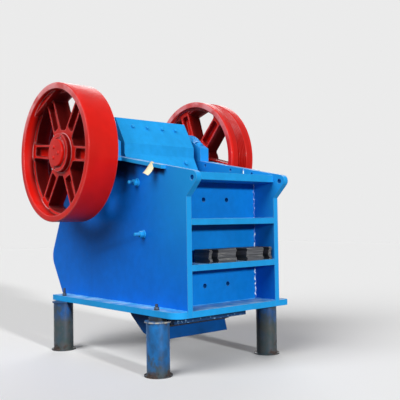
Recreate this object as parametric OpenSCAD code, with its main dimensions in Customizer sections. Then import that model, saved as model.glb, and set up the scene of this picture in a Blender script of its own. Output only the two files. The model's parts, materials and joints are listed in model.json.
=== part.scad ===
// Single-toggle jaw crusher on four pipe legs.
// Every module draws in machine coordinates: x = 0 is the front face of the frame and x runs
// forwards, y = 0 is the middle of the frame, and z = 0 is the underside of the base.

/* [Frame] */
// Width over the two side plates
body_w = 1230; // [1150:10:1350]
// Thickness of a side plate
plate_t = 60; // [40:2:70]
// Height of the side plate's top edge at the front face
front_h = 1368; // [1340:2:1420]
// Slope of the side plate's top edge, in degrees
top_slope = 11; // [8:0.5:12]
// Distance from the front face to the rearmost corner before it is rounded
back_reach = 2570; // [2500:10:2700]
// Height of that corner
back_corner_h = 485; // [450:5:520]
// Radius of that corner
back_corner_r = 200; // [120:10:240]
// Distance from the front face to the side plate's lower rear end
foot_reach = 2270; // [2200:10:2290]
// Thickness of the base flanges and base bars
base_t = 60; // [40:2:70]
// Width of the flange outside each side plate
flange_out = 140; // [125:5:180]
// Length of the side flanges
flange_l = 2290; // [2280:10:2400]
// Radius of the left flange's front corner
flange_corner_r = 125; // [60:5:125]
// Radius of the right flange's front corner
right_corner_r = 25; // [10:5:125]

/* [Front wall] */
// Depth of the front ribs, which is how far the wall lies behind the front face
rib_depth = 284; // [200:4:320]
// Height from one rib's underside to the next
rib_pitch = 426; // [410:2:440]
// Thickness of the two middle ribs
rib_t = 58; // [40:2:70]
// Thickness of the top rib
top_rib_t = 72; // [50:2:80]
// Thickness of the wall behind the ribs
wall_t = 80; // [60:5:90]
// Radius of the wall's bolt holes
wall_hole_r = 23; // [15:1:30]
// Distance between the two bolt holes of a row
wall_hole_gap = 312; // [260:4:420]
// Height of the lower row of bolt holes
wall_hole_low = 245; // [180:5:320]
// Height of the upper row of bolt holes
wall_hole_high = 1100; // [1020:5:1180]

/* [Lifting lugs] */
// Reach of the lug's centre ahead of the front face
lug_x = 86; // [60:2:110]
// Radius of the lug
lug_r = 62; // [50:1:70]
// Radius of the lug's hole
lug_hole_r = 25; // [15:1:35]
// Height of the lug's lower end on the front face
lug_root_h = 1115; // [1000:5:1160]

/* [Shaft and bearings] */
// Distance from the front face back to the shaft
shaft_back = 1582; // [1550:2:1640]
// Height of the shaft
shaft_h = 1634; // [1600:2:1680]
// Radius of the shaft at its bearings and wheels
shaft_r = 110; // [90:2:120]
// Radius of the shaft inside the moving jaw
journal_r = 140; // [125:1:150]
// Radius of a bearing housing
housing_r = 320; // [280:5:330]
// Reach of a bearing housing outside its side plate
housing_out = 120; // [80:5:130]
// Distance from the shaft to the end of a housing's foot
foot_half = 436; // [400:4:460]
// Height of a housing's foot
foot_t = 155; // [120:5:180]
// Reach of the foot outside its side plate
foot_out = 68; // [40:2:100]
// Radial gap of a running fit
running_gap = 0.1; // [0.05:0.01:0.1]

/* [Bearing ledge] */
// Thickness of the ledge along the side plate's top edge
ledge_t = 36; // [25:1:60]
// Reach of the ledge outside the side plate, ahead of the bearing
ledge_out = 60; // [40:2:80]
// Reach of the ledge outside the side plate, under the bearing
seat_out = 135; // [100:5:150]
// Distance from the front face to the ledge's front end
ledge_front = 298; // [200:2:400]
// Distance from the front face to where the ledge gets wider
seat_front = 960; // [900:5:1050]

/* [Flywheel and sheave] */
// Radius of both wheels
wheel_r = 734; // [680:2:760]
// Width of both rims
rim_w = 350; // [300:5:380]
// Radial thickness of a rim
rim_t = 66; // [50:2:80]
// Gap between a side plate and the rim beside it
wheel_gap = 165; // [150:5:200]
// Radius of a hub
hub_r = 245; // [220:5:260]
// Number of spokes
spokes = 6; // [5:1:8]
// Width of a spoke at the hub
spoke_w = 162; // [130:2:170]
// Width of a spoke at the rim
spoke_tip_w = 150; // [110:2:160]
// Length of a spoke along the shaft
spoke_d = 190; // [140:5:220]
// Thickness of a spoke's two edges
spoke_edge = 26; // [18:1:34]
// Thickness of the web between a spoke's edges
spoke_web = 60; // [40:2:90]
// Angle by which the flywheel's spokes stand turned at rest, in degrees
spoke_turn = 6.5; // [0:0.5:30]
// Angle by which the sheave's spokes stand turned at rest, in degrees
sheave_turn = 13.5; // [0:0.5:30]
// Distance of the balance weight's flat side from the shaft
weight_flat = 612; // [590:2:630]
// Number of belt grooves in the sheave
grooves = 5; // [4:1:7]
// Distance from one belt groove to the next
groove_pitch = 26; // [24:0.5:30]
// Depth of a belt groove
groove_d = 20; // [14:1:24]
// Radius of the disc that covers the shaft's end
cap_r = 145; // [130:1:150]

/* [Jaws] */
// Width of the moving jaw and of both jaw plates
jaw_w = 970; // [900:5:980]
// Radius of the moving jaw's barrel
barrel_r = 335; // [300:5:340]
// Slope of the moving jaw's face from upright, in degrees
jaw_angle = 16.5; // [15:0.5:18]
// Depth of the jaw's toe below the base
toe_drop = 305; // [250:5:330]
// Thickness of a jaw plate, teeth included
jaw_plate_t = 105; // [90:1:115]
// Distance from one tooth to the next
tooth_pitch = 88; // [70:1:100]
// Height of a tooth
tooth_h = 38; // [25:1:45]
// Depth of the fixed jaw plate's lower end below the base
fixed_drop = 110; // [60:5:160]
// Thickness of a cheek plate
cheek_t = 45; // [30:1:50]

/* [Guard] */
// Slope of the guard's upper part from upright, in degrees
guard_angle = 30; // [26:1:32]
// Thickness of the guard plate
guard_t = 20; // [12:1:25]
// Gap between the barrel and the guard's upright part
guard_gap = 66; // [60:1:80]
// Height of the guard's upper edge
guard_top = 2037; // [1980:1:2060]
// Height of the guard's lower edge
guard_low = 1481; // [1460:1:1500]

/* [Toggle and tension rods] */
// Width of the rear base bar, whose front edge lines up with the rear wall
rear_bar_w = 200; // [150:5:240]
// Thickness of the rear wall
rear_wall_t = 60; // [40:5:80]
// Height of the rear wall's top
rear_wall_top = 860; // [820:5:920]
// Thickness of a rear rib
rear_rib_t = 50; // [30:2:60]
// Width of the toggle plate
toggle_w = 760; // [600:10:800]
// Thickness of the toggle plate
toggle_t = 50; // [35:1:60]
// Radius of the toggle plate's rounded ends
toggle_end_r = 45; // [38:1:55]
// Distance between the two tension rods
rod_gap = 460; // [360:10:520]
// Radius of a tension rod
rod_r = 25; // [18:1:28]
// Radius of the wire of a tension spring
wire_r = 10; // [8:1:12]
// Radius of a tension spring to the middle of its wire
coil_r = 55; // [50:1:62]

/* [Shims] */
// Number of adjusting shims stacked on the lower rib
shims = 10; // [6:1:12]
// Thickness of one shim
shim_t = 13; // [8:1:16]

/* [Stand] */
// Height of the stand
stand_h = 545; // [450:5:700]
// Radius of a leg's pipe
leg_r = 109.5; // [90:0.5:115]
// Wall of a leg's pipe
leg_wall = 10; // [6:1:16]
// Distance from the front face to the front legs
leg_front = 300; // [250:5:400]
// Distance from the flanges' rear end to the rear legs
leg_rear_inset = 205; // [170:5:300]
// Distance of a leg's centre outside the side plate
leg_out = 117; // [80:1:120]

/* [Hidden] */
$fn = 96;

half_w = body_w / 2;
inner_half = half_w - plate_t;
jaw_half = jaw_w / 2;
shaft = [-shaft_back, shaft_h];
tan_top = tan(top_slope);
seat_z = front_h + (shaft_back - foot_half) * tan_top;
seat_tail = 32;
seat_end = shaft_back + foot_half + seat_tail;
rear_wall_back = foot_reach - rear_bar_w;
leg_rear = flange_l - leg_rear_inset;
lug_c = [lug_x, front_h - lug_x * tan_top - lug_r / cos(top_slope)];
back_corner = [-back_reach, back_corner_h];
face_n = [cos(jaw_angle), sin(jaw_angle)];
// Clearance between curved faces that sit in each other
seat_gap = 0.3;
steel_blue = [0.03, 0.36, 0.75];
light_blue = [0.12, 0.55, 0.85];
signal_red = [0.78, 0.05, 0.05];
bare_steel = [0.28, 0.28, 0.30];
manganese = [0.20, 0.21, 0.23];

// Height of the side plate's top edge at a distance behind the front face
function top_z(back) = front_h + back * tan_top;

// Centre of the arc that rounds corner v between a and b, and its two tangent points
function unit(v) = v / norm(v);
function round_t(a, v, b, r) = r / tan(acos(unit(a - v) * unit(b - v)) / 2);
function arc_from(a, v, b, r) = v + unit(a - v) * round_t(a, v, b, r);
function arc_to(a, v, b, r) = v + unit(b - v) * round_t(a, v, b, r);
function arc_centre(a, v, b, r) =
    v + unit(unit(a - v) + unit(b - v)) * r / sin(acos(unit(a - v) * unit(b - v)) / 2);

// Point where a line from p touches the lower front of circle c
function touch_point(p, c, r) =
    let (d = norm(c - p), turn = atan2(p[1] - c[1], p[0] - c[0]) + acos(r / d))
    c + r * [cos(turn), sin(turn)];

// Point of the moving jaw's face line at a height
function face_x(z) = shaft[0] + (barrel_r - (z - shaft[1]) * face_n[1]) / face_n[0];

// Draws machine coordinates at the place where the part stands
rear_top = [-seat_end, seat_z];
foot_corner = [-foot_reach, 0];
back_arc = arc_centre(rear_top, back_corner, foot_corner, back_corner_r);
back_extent = back_corner_r - back_arc[0];
module placed() {
    translate([(back_extent - lug_x - lug_r) / 2, 0, stand_h]) children();
}

// Extrudes an outline of x and z along y, from y0 to y1
module upright(y0, y1) {
    translate([0, y1, 0]) rotate([90, 0, 0]) linear_extrude(y1 - y0) children();
}

// A round bar along y
module bar_y(r, y0, y1, x = 0, z = 0) {
    translate([x, y1, z]) rotate([90, 0, 0]) cylinder(r = r, h = y1 - y0);
}

// Draws the child on the right, or mirrored to the left
module on_side(right) {
    if (right) children();
    else mirror([0, 1, 0]) children();
}

// Outline of a side plate
module side_outline() {
    difference() {
        union() {
            polygon([
                [0, 0], [0, lug_root_h], touch_point([0, lug_root_h], lug_c, lug_r), lug_c,
                lug_c + lug_r * [sin(top_slope), cos(top_slope)],
                [-(shaft_back - foot_half), seat_z], rear_top,
                arc_from(rear_top, back_corner, foot_corner, back_corner_r), back_arc,
                arc_to(rear_top, back_corner, foot_corner, back_corner_r), foot_corner
            ]);
            translate(lug_c) circle(r = lug_r);
            translate(back_arc) circle(r = back_corner_r);
        }
        translate(shaft) circle(r = housing_r + seat_gap);
        translate(lug_hole_at) circle(r = lug_hole_r);
    }
}
lug_hole_at = lug_c + [-3, -4];

// Height below the top edge, radius and depth of the small holes inside a side plate
edge_hole_drop = 42;
edge_hole_r = 15;
edge_hole_depth = 25;
edge_hole_backs = [310, 640, 1060];

module side_plate(right) {
    color(steel_blue) placed() on_side(right) difference() {
        upright(inner_half, half_w) side_outline();
        for (back = edge_hole_backs)
            bar_y(edge_hole_r, inner_half - 1, inner_half + edge_hole_depth, -back, top_z(back) - edge_hole_drop);
        for (at = cheek_bolt_at) bar_y(bolt_shank_r, inner_half - 1, half_w + 1, at[0], at[1]);
    }
}

module base_flange(right) {
    r = right ? right_corner_r : flange_corner_r;
    color(light_blue) placed() on_side(right) linear_extrude(base_t) union() {
        translate([-flange_l, half_w]) square([flange_l - r, flange_out]);
        translate([-r, half_w]) square([r, flange_out - r]);
        intersection() {
            translate([-r, half_w + flange_out - r]) circle(r = r);
            translate([-r, half_w]) square([r, flange_out]);
        }
    }
}

// A bar across the frame, from x0 back to x1
module cross_bar(x0, x1, z0, t) {
    translate([x1, -inner_half, z0]) cube([x0 - x1, 2 * inner_half, t]);
}

module front_rib(k, t) {
    color(light_blue) placed() cross_bar(0, -rib_depth, k * rib_pitch, t);
}

wall_top = 3 * rib_pitch + top_rib_t;
module front_wall() {
    color(steel_blue) placed() difference() {
        cross_bar(-rib_depth, -rib_depth - wall_t, 0, wall_top);
        for (y = [-1, 1] * wall_hole_gap / 2, z = [wall_hole_low, wall_hole_high])
            translate([-rib_depth - wall_t - 1, y, z]) rotate([0, 90, 0]) cylinder(r = wall_hole_r, h = wall_t + 2);
    }
}

module base_bar_rear() {
    color(steel_blue) placed() cross_bar(-rear_wall_back, -foot_reach, 0, base_t);
}

// Outline behind the rear wall, a little inside the side plates' rear edge
rear_inset = 25;
spring_pad_rim = 8;
module rear_wall() {
    color(steel_blue) placed() difference() {
        union() {
            cross_bar(-rear_wall_back, -rear_wall_back - rear_wall_t, base_t, rear_wall_top - base_t);
            along_rod(spring_from - spring_pad_l) cylinder(r = coil_r + wire_r + spring_pad_rim, h = spring_pad_l);
        }
        along_rod(0) cylinder(r = rod_r + rod_hole_gap, h = rod_l);
    }
}

rear_rib_z = [400, 610, 810];
module rear_ribs() {
    color(steel_blue) placed() intersection() {
        for (z = rear_rib_z) cross_bar(-rear_wall_back - rear_wall_t, -back_reach, z, rear_rib_t);
        upright(-inner_half, inner_half) translate([rear_inset, 0])
            polygon([[0, 0], [0, seat_z], rear_top, back_corner, foot_corner]);
    }
}

// The ledge along a side plate's top edge, with the wider seat under the bearing
module bearing_ledge(right) {
    color(light_blue) placed() on_side(right) difference() {
        union() {
            upright(half_w, half_w + ledge_out) ledge_outline(ledge_front);
            upright(half_w, half_w + seat_out) ledge_outline(seat_front);
        }
        bar_y(housing_r + seat_gap, half_w - 1, half_w + seat_out + 1, shaft[0], shaft[1]);
    }
}
module ledge_outline(front) {
    polygon([
        [-front, top_z(front)], [-(shaft_back - foot_half), seat_z], rear_top,
        rear_top - [0, ledge_t], [-(shaft_back - foot_half), seat_z - ledge_t], [-front, top_z(front) - ledge_t]
    ]);
}

// A bearing housing, with its two feet on the seat, an end flange and its bolts
flange_ring_r = 235;
flange_ring_t = 12;
module bearing_housing(right) {
    color(steel_blue) placed() on_side(right) difference() {
        union() {
            bar_y(housing_r, inner_half, half_w + housing_out, shaft[0], shaft[1]);
            upright(inner_half, half_w + foot_out) housing_outline();
            bar_y(flange_ring_r, half_w + housing_out, half_w + housing_out + flange_ring_t, shaft[0], shaft[1]);
        }
        bar_y(shaft_r + running_gap, inner_half - 1, half_w + housing_out + flange_ring_t + 1, shaft[0], shaft[1]);
        for (side = [-1, 1]) translate([shaft[0] + side * foot_bolt_x, half_w + foot_bolt_y, foot_bolt_z])
            cylinder(r = foot_bolt_r * 1.9, h = housing_r);
    }
}
// The bolts through the shoulders: their place, and the height of their spot faces
foot_bolt_x = 340;
foot_bolt_y = 8;
foot_bolt_z = seat_z + foot_t + 35;

module housing_outline() {
    corner = [shaft[0] + foot_half, seat_z + foot_t];
    touch = touch_point(corner, shaft, housing_r) - shaft;
    polygon([
        [corner[0], seat_z], corner, shaft + touch, shaft + [-touch[0], touch[1]],
        [shaft[0] - foot_half, corner[1]], [shaft[0] - foot_half, seat_z]
    ]);
}

// A hexagon nut or bolt head with its axis up
module hex_head(r, h) {
    cylinder(r = r, h = h, $fn = 6);
}

foot_bolt_r = 26;
foot_nut_h = 34;
foot_stud_h = 54;
module housing_bolts() {
    color(steel_blue) placed() for (side = [-1, 1], x = [-1, 1] * foot_bolt_x)
        translate([shaft[0] + x, side * (half_w + foot_bolt_y), foot_bolt_z]) {
            hex_head(foot_bolt_r * 1.6, foot_nut_h);
            cylinder(r = foot_bolt_r, h = foot_stud_h);
        }
}

// Section of a jaw plate: a flat back at x = 0 and teeth that point to +x
tooth_count = floor(jaw_w / tooth_pitch);
tooth_edge = (jaw_w - tooth_count * tooth_pitch) / 2;
root_x = jaw_plate_t - tooth_h;
function tooth_points(k) =
    let (y = -jaw_half + tooth_edge + k * tooth_pitch)
    [
        [root_x, y], [jaw_plate_t, y + tooth_pitch * 0.28],
        [jaw_plate_t, y + tooth_pitch * 0.44], [root_x, y + tooth_pitch * 0.72]
    ];
module jaw_plate_section() {
    polygon(concat(
        [[0, jaw_half], [0, -jaw_half], [root_x, -jaw_half]],
        [for (k = [0:tooth_count - 1]) for (p = tooth_points(k)) p],
        [[root_x, jaw_half]]
    ));
}

fixed_top = wall_top - 20;
module fixed_jaw_plate() {
    color(manganese) placed() translate([-rib_depth - wall_t, 0, -fixed_drop]) mirror([1, 0, 0])
        linear_extrude(fixed_top + fixed_drop) jaw_plate_section();
}

// The moving jaw's plate lies on its face, between the toe and the wedge
toe_lip = 60;
toe_h = 115;
plate_low_z = -toe_drop + toe_h;
moving_plate_l = 1560;
module moving_jaw_plate() {
    color(manganese) placed() on_jaw_face(plate_low_z) translate([seat_gap, 0, 0])
        linear_extrude(moving_plate_l) jaw_plate_section();
}

// Puts the child's z axis up along the moving jaw's face, with its x axis pointing off the face
module on_jaw_face(z) {
    translate([face_x(z), 0, z]) rotate([0, -jaw_angle, 0]) children();
}

// The moving jaw: a casting with a barrel on the shaft, a ribbed back and a toe
boss_at = [-1195, 200];
boss_r = 105;
toe_tip = [face_x(-toe_drop), -toe_drop];
toe_under = [[-880, -245], [-1085, -90]];
back_hip = [-1640, 1300];
jaw_skin = 70;
jaw_rib_t = 46;
module jaw_outline() {
    polygon([
        toe_tip, shaft + barrel_r * face_n, shaft, back_hip,
        boss_at + [-95, 45], boss_at + [-90, -55], toe_under[1], toe_under[0]
    ]);
    translate(shaft) circle(r = barrel_r);
    translate(boss_at) circle(r = boss_r);
}
// The four hollows in the jaw's back, between its ribs
hollow_w = (jaw_w - 5 * jaw_rib_t) / 4;
hollow_low = 330;
hollow_top = 1270;
module jaw_hollow() {
    polygon([
        [face_x(hollow_top) - jaw_skin, hollow_top], [face_x(hollow_low) - jaw_skin, hollow_low],
        [boss_at[0] - barrel_r, hollow_low], [boss_at[0] - 2 * barrel_r, hollow_top]
    ]);
}
seal_r = 205;
seal_l = 45;
seal_gap = 6;
jaw_wall_t = 40;
module moving_jaw() {
    color(steel_blue) placed() difference() {
        union() {
            upright(-jaw_half, jaw_half) jaw_outline();
            bar_y(seal_r, -jaw_half - seal_l, jaw_half + seal_l, shaft[0], shaft[1]);
        }
        for (k = [0:3]) {
            y = -jaw_half + jaw_rib_t + k * (hollow_w + jaw_rib_t);
            upright(y, y + hollow_w) jaw_hollow();
        }
        bar_y(bearing_r, -jaw_half + jaw_wall_t, jaw_half - jaw_wall_t, shaft[0], shaft[1]);
        bar_y(shaft_r + seal_gap, -jaw_half - seal_l - 1, jaw_half + seal_l + 1, shaft[0], shaft[1]);
        toggle_groove();
    }
}

// The bearings that carry the moving jaw on the shaft
bearing_r = 225;
bearing_w = 120;
bearing_inset = 130;
module jaw_bearings() {
    color(bare_steel) placed() for (side = [-1, 1]) difference() {
        translate([0, side * (jaw_half - bearing_inset), 0])
            bar_y(bearing_r - seat_gap, -bearing_w / 2, bearing_w / 2, shaft[0], shaft[1]);
        bar_y(journal_r + running_gap, -jaw_half, jaw_half, shaft[0], shaft[1]);
    }
}

// The wedge that clamps the moving jaw plate's upper end
wedge_h = 90;
wedge_slope = 20;
module jaw_plate_wedge() {
    color(steel_blue) placed() on_jaw_face(plate_low_z) upright(-jaw_half, jaw_half) polygon([
        [0, moving_plate_l + seat_gap], [jaw_plate_t - tooth_h, moving_plate_l + seat_gap],
        [jaw_plate_t - tooth_h - wedge_slope, moving_plate_l + wedge_h], [0, moving_plate_l + wedge_h]
    ]);
}

// Cheek plates, an upper and a lower one on each side of the chamber
cheek_front = rib_depth + wall_t + jaw_plate_t + 12;
cheek_low = 30;
cheek_split = 720;
cheek_gap = 12;
cheek_back = 60;
cheek_drop = [60, 40];
function cheek_x(z) = face_x(z) + jaw_plate_t / face_n[0] + 8;
module cheek_plates(right) {
    color(manganese) placed() on_side(right) difference() {
        upright(inner_half - cheek_t, inner_half) {
            polygon([[-cheek_front, cheek_low], [-cheek_front, cheek_split - cheek_gap],
                [cheek_x(cheek_split - cheek_gap) - cheek_back, cheek_split - cheek_gap],
                [cheek_x(cheek_low) - cheek_back, cheek_low]]);
            polygon([[-cheek_front, cheek_split], [-cheek_front, front_h - cheek_drop[0]],
                [cheek_x(front_h) - cheek_back, front_h - cheek_drop[1]],
                [cheek_x(cheek_split) - cheek_back, cheek_split]]);
        }
        for (at = cheek_bolt_at) bar_y(bolt_shank_r, inner_half - cheek_t - 1, inner_half + 1, at[0], at[1]);
    }
}

// The bolts that hold the cheek plates, with their nuts outside the side plates
cheek_bolt_at = [[-670, 766], [-765, 1285]];
bolt_shank_r = 18;
bolt_out = 118;
cheek_washer_r = 42;
cheek_washer_t = 12;
cheek_nut_r = 34;
cheek_nut_h = 42;
module cheek_bolts() {
    color(light_blue) placed() for (side = [-1, 1], at = cheek_bolt_at) {
        on_side(side > 0) {
            bar_y(bolt_shank_r - seat_gap, inner_half - cheek_t, half_w + bolt_out, at[0], at[1]);
            translate([at[0], half_w, at[1]]) rotate([-90, 0, 0]) {
                cylinder(r = cheek_washer_r, h = cheek_washer_t);
                translate([0, 0, cheek_washer_t]) hex_head(cheek_nut_r, cheek_nut_h);
            }
        }
    }
}

// The bent guard over the moving jaw's head, as its front face from the top down
guard_end_t = 15;
guard_bend = [shaft[0] + barrel_r + guard_gap, shaft[1] + 109];
guard_knee = guard_bend - [0, 118];
guard_line = [
    [guard_bend[0] - (guard_top - guard_bend[1]) * tan(guard_angle), guard_top],
    guard_bend, guard_knee, [face_x(guard_low) + 80, guard_low]
];
guard_lip = 8;
function guard_inner(k) = guard_line[k] - [guard_t, k == 3 ? guard_lip : 0];
module guard_plate_outline() {
    polygon(concat(guard_line, [for (k = [3:-1:0]) guard_inner(k)]));
}
// The room between the guard and the jaw casting, where its end plates and gussets stand
module guard_room_outline() {
    difference() {
        polygon(concat([for (k = [0:3]) guard_inner(k)], [
            [face_x(guard_low), guard_low], shaft, shaft + [-40, barrel_r - 5], shaft + [-40, barrel_r + 22]
        ]));
        translate(shaft) circle(r = barrel_r);
        polygon([
            [face_x(guard_low - 50), guard_low - 50], shaft + barrel_r * face_n, shaft, [shaft[0], guard_low - 50]
        ]);
    }
}
module jaw_guard() {
    color(light_blue) placed() {
        upright(-jaw_half, jaw_half) guard_plate_outline();
        for (y = [-jaw_half, jaw_half - guard_end_t]) upright(y, y + guard_end_t) guard_room_outline();
    }
}

bracket_t = 20;
bracket_pitch = 200;
module guard_brackets() {
    color(steel_blue) placed() for (k = [-1.5:1:1.5]) translate([0, k * bracket_pitch, 0])
        upright(-bracket_t / 2, bracket_t / 2) guard_room_outline();
}

// The bolts in the guard's upper part
guard_bolt_y = [-300, -105, 105, 300];
guard_bolt_drop = 99;
guard_bolt_r = 19;
guard_bolt_h = 16;
module guard_bolts() {
    color(light_blue) placed() for (y = guard_bolt_y)
        translate([guard_line[0][0] + guard_bolt_drop * tan(guard_angle), y, guard_top - guard_bolt_drop])
            rotate([0, 90 - guard_angle, 0]) hex_head(guard_bolt_r, guard_bolt_h);
}

// Toggle plate between the jaw's boss and the block on the rear wall
toggle_front = boss_at + [-boss_r - 20, 12];
toggle_back_at = [-rear_wall_back + 235, 410];
toggle_tilt = atan2(toggle_back_at[1] - toggle_front[1], toggle_front[0] - toggle_back_at[0]);
toggle_l = norm(toggle_back_at - toggle_front);
module toggle_plate() {
    color(bare_steel) placed() translate([toggle_front[0], -toggle_w / 2, toggle_front[1]])
        rotate([0, toggle_tilt, 0]) {
            translate([-toggle_l, 0, -toggle_t / 2]) cube([toggle_l, toggle_w, toggle_t]);
            for (x = [0, -toggle_l]) translate([x, toggle_w, 0]) rotate([90, 0, 0]) cylinder(r = toggle_end_r, h = toggle_w);
        }
}
// The moving jaw's groove is wide and deep enough for the jaw to swing clear of the plate
groove_room = 22;
module toggle_groove() {
    bar_y(toggle_end_r + groove_room, -jaw_half - 1, jaw_half + 1, toggle_front[0], toggle_front[1]);
}

// The seat that takes the toggle's rear end, on the block that the shims set forwards
seat_d = 80;
seat_lip = 15;
seat_h = 140;
block_w = 820;
block_h = 260;
module toggle_seat() {
    color(bare_steel) placed() difference() {
        translate([toggle_back_at[0] - seat_d, -toggle_w / 2, toggle_back_at[1] - seat_h / 2])
            cube([seat_d + seat_lip, toggle_w, seat_h]);
        bar_y(toggle_end_r + seat_gap, -toggle_w, toggle_w, toggle_back_at[0], toggle_back_at[1]);
    }
}
module toggle_block() {
    color(steel_blue) placed()
        translate([-rear_wall_back, -block_w / 2, toggle_back_at[1] - block_h / 2])
            cube([toggle_back_at[0] - seat_d + rear_wall_back, block_w, block_h]);
}

// Tension rods run from the jaw's toe, under the toggle, through the rear wall to their springs
rod_from = [-1120, 0];
rod_tail = 400;
rod_to = [-rear_wall_back - rod_tail, 225];
rod_hole_gap = 14;
rod_thread_l = 95;
rod_washer_t = 14;
rod_nut_h = 40;
rod_tilt = atan2(rod_to[1] - rod_from[1], rod_from[0] - rod_to[0]);
rod_l = norm(rod_to - rod_from);
module along_rod(s) {
    for (y = [-1, 1] * rod_gap / 2)
        translate([rod_from[0], y, rod_from[1]]) rotate([0, -90 + rod_tilt, 0]) translate([0, 0, s]) children();
}
module tension_rods() {
    color(bare_steel) placed() difference() {
        along_rod(0) {
            cylinder(r = rod_r, h = rod_l);
            translate([0, 0, rod_l - rod_thread_l]) cylinder(r = coil_r + rod_r, h = rod_washer_t);
            translate([0, 0, rod_l - rod_thread_l + rod_washer_t]) hex_head(rod_r * 1.75, rod_nut_h);
        }
        upright(-jaw_half, jaw_half) jaw_outline();
    }
}

// A round wire swept along a helix on the z axis
coil_turns = 6;
coil_steps = 16;
function coil_point(k, n, rise) = let (a = 360 * k / coil_steps)
    [coil_r * cos(a), coil_r * sin(a), rise * k / n];
function wire_ring(k, n, rise) = let (a = 360 * k / coil_steps, c = coil_point(k, n, rise))
    [for (j = [0:7]) c + wire_r * [cos(45 * j) * cos(a), cos(45 * j) * sin(a), sin(45 * j)]];
module coil_spring(length) {
    n = coil_turns * coil_steps;
    rise = length - 2 * wire_r;
    translate([0, 0, wire_r]) polyhedron(
        points = [for (k = [0:n]) for (p = wire_ring(k, n, rise)) p],
        faces = concat(
            [[for (j = [0:7]) j]],
            [for (k = [0:n - 1]) for (j = [0:7]) [8 * k + j, 8 * (k + 1) + j, 8 * (k + 1) + (j + 1) % 8, 8 * k + (j + 1) % 8]],
            [[for (j = [7:-1:0]) 8 * n + j]]
        )
    );
}
spring_pad_l = 60;
spring_pad_out = 30;
spring_from = (rear_wall_back + rear_wall_t + rod_from[0]) / cos(rod_tilt) + spring_pad_out;
module tension_springs() {
    color(bare_steel) placed() along_rod(spring_from) coil_spring(rod_l - rod_thread_l - spring_from);
}

// A stack of comb-shaped adjusting shims on the lower rib
shim_x = [-235, -18];
shim_y = [-328, 525];
shim_slots = [[-296, -215], [22, 172], [403, 490]];
shim_spine = 60;
shim_stray = [6, 8];
module shim_stack() {
    color(bare_steel) placed() for (k = [0:shims - 1])
        translate([shim_stray[0] * sin(97 * k), shim_stray[1] * sin(61 * k), rib_pitch + rib_t + k * shim_t])
            linear_extrude(shim_t) difference() {
                translate([shim_x[0], shim_y[0]]) square([shim_x[1] - shim_x[0], shim_y[1] - shim_y[0]]);
                for (s = shim_slots) translate([shim_x[0] + shim_spine, s[0]]) square([rib_depth, s[1] - s[0]]);
            }
}

// A pipe leg with a cap and a round foot; the front left one also has a packing disc on its cap
leg_cap_t = 14;
leg_cap_r = leg_r + 15;
leg_foot_t = 12;
leg_foot_r = leg_r + 25;
packing_t = 34;
packing_r = 85;
leg_bolt_shift = 20;
leg_bolt_in = 3;
leg_bolt_r = 15;
leg_bolt_front_h = 60;
leg_bolt_rear_h = 90;
leg_nut_r = 26;
leg_nut_h = 26;
module leg(back, side, packing) {
    cap_z = stand_h - packing - leg_cap_t;
    color(steel_blue) placed() translate([-back, side * (half_w + leg_out), -stand_h]) {
        cylinder(r = leg_foot_r, h = leg_foot_t);
        translate([0, 0, cap_z]) cylinder(r = leg_cap_r, h = leg_cap_t);
        if (packing > 0) translate([0, 0, stand_h - packing]) cylinder(r = packing_r, h = packing);
        translate([0, 0, leg_foot_t]) difference() {
            cylinder(r = leg_r, h = cap_z - leg_foot_t);
            cylinder(r = leg_r - leg_wall, h = cap_z - leg_foot_t);
        }
    }
}
module leg_bolt(back, h) {
    for (side = [-1, 1]) translate([-back, side * (half_w + leg_out - leg_bolt_in), base_t]) {
        hex_head(leg_nut_r, leg_nut_h);
        cylinder(r = leg_bolt_r, h = h);
    }
}
module leg_bolts() {
    color(bare_steel) placed() {
        leg_bolt(leg_front + leg_bolt_shift, leg_bolt_front_h);
        leg_bolt(leg_rear - leg_bolt_shift, leg_bolt_rear_h);
    }
}

// The shaft, thicker inside the moving jaw
hub_inset = 65;
hub_clear = 14;
journal_inset = 50;
hub_out = half_w + wheel_gap + rim_w - hub_inset;
hub_in = half_w + housing_out + flange_ring_t + hub_clear;
module main_shaft() {
    color(bare_steel) placed() {
        bar_y(shaft_r, -hub_out, hub_out, shaft[0], shaft[1]);
        bar_y(journal_r, -(jaw_half - journal_inset), jaw_half - journal_inset, shaft[0], shaft[1]);
    }
}

// A wheel in its own coordinates, with y as the distance along the shaft
rim_in = half_w + wheel_gap;
rim_out = rim_in + rim_w;
spoke_inset = 115;
spoke_face = rim_out - spoke_inset;
spoke_back = spoke_face - spoke_d;
rim_rib_t = 26;
rim_chamfer = 6;
rim_step = 7;
rim_r = wheel_r - rim_t;
// Revolves a profile of radius and y about the y axis
module turned() {
    rotate([90, 0, 0]) rotate_extrude($fn = 180) mirror([0, 1, 0]) children();
}
// The rim's inner half with the rib that the spokes run into
rim_inner_points = [
    [rim_r, rim_in], [rim_r, spoke_back + rim_step], [rim_r - rim_rib_t, spoke_back + 2 * rim_step],
    [rim_r - rim_rib_t, spoke_face - 2 * rim_step], [rim_r, spoke_face - rim_step], [rim_r, rim_out]
];
module plain_rim() {
    turned() polygon(concat(rim_inner_points, [
        [wheel_r - rim_chamfer, rim_out], [wheel_r, rim_out - rim_chamfer],
        [wheel_r, rim_in + rim_chamfer], [wheel_r - rim_chamfer, rim_in]
    ]));
}
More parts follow.
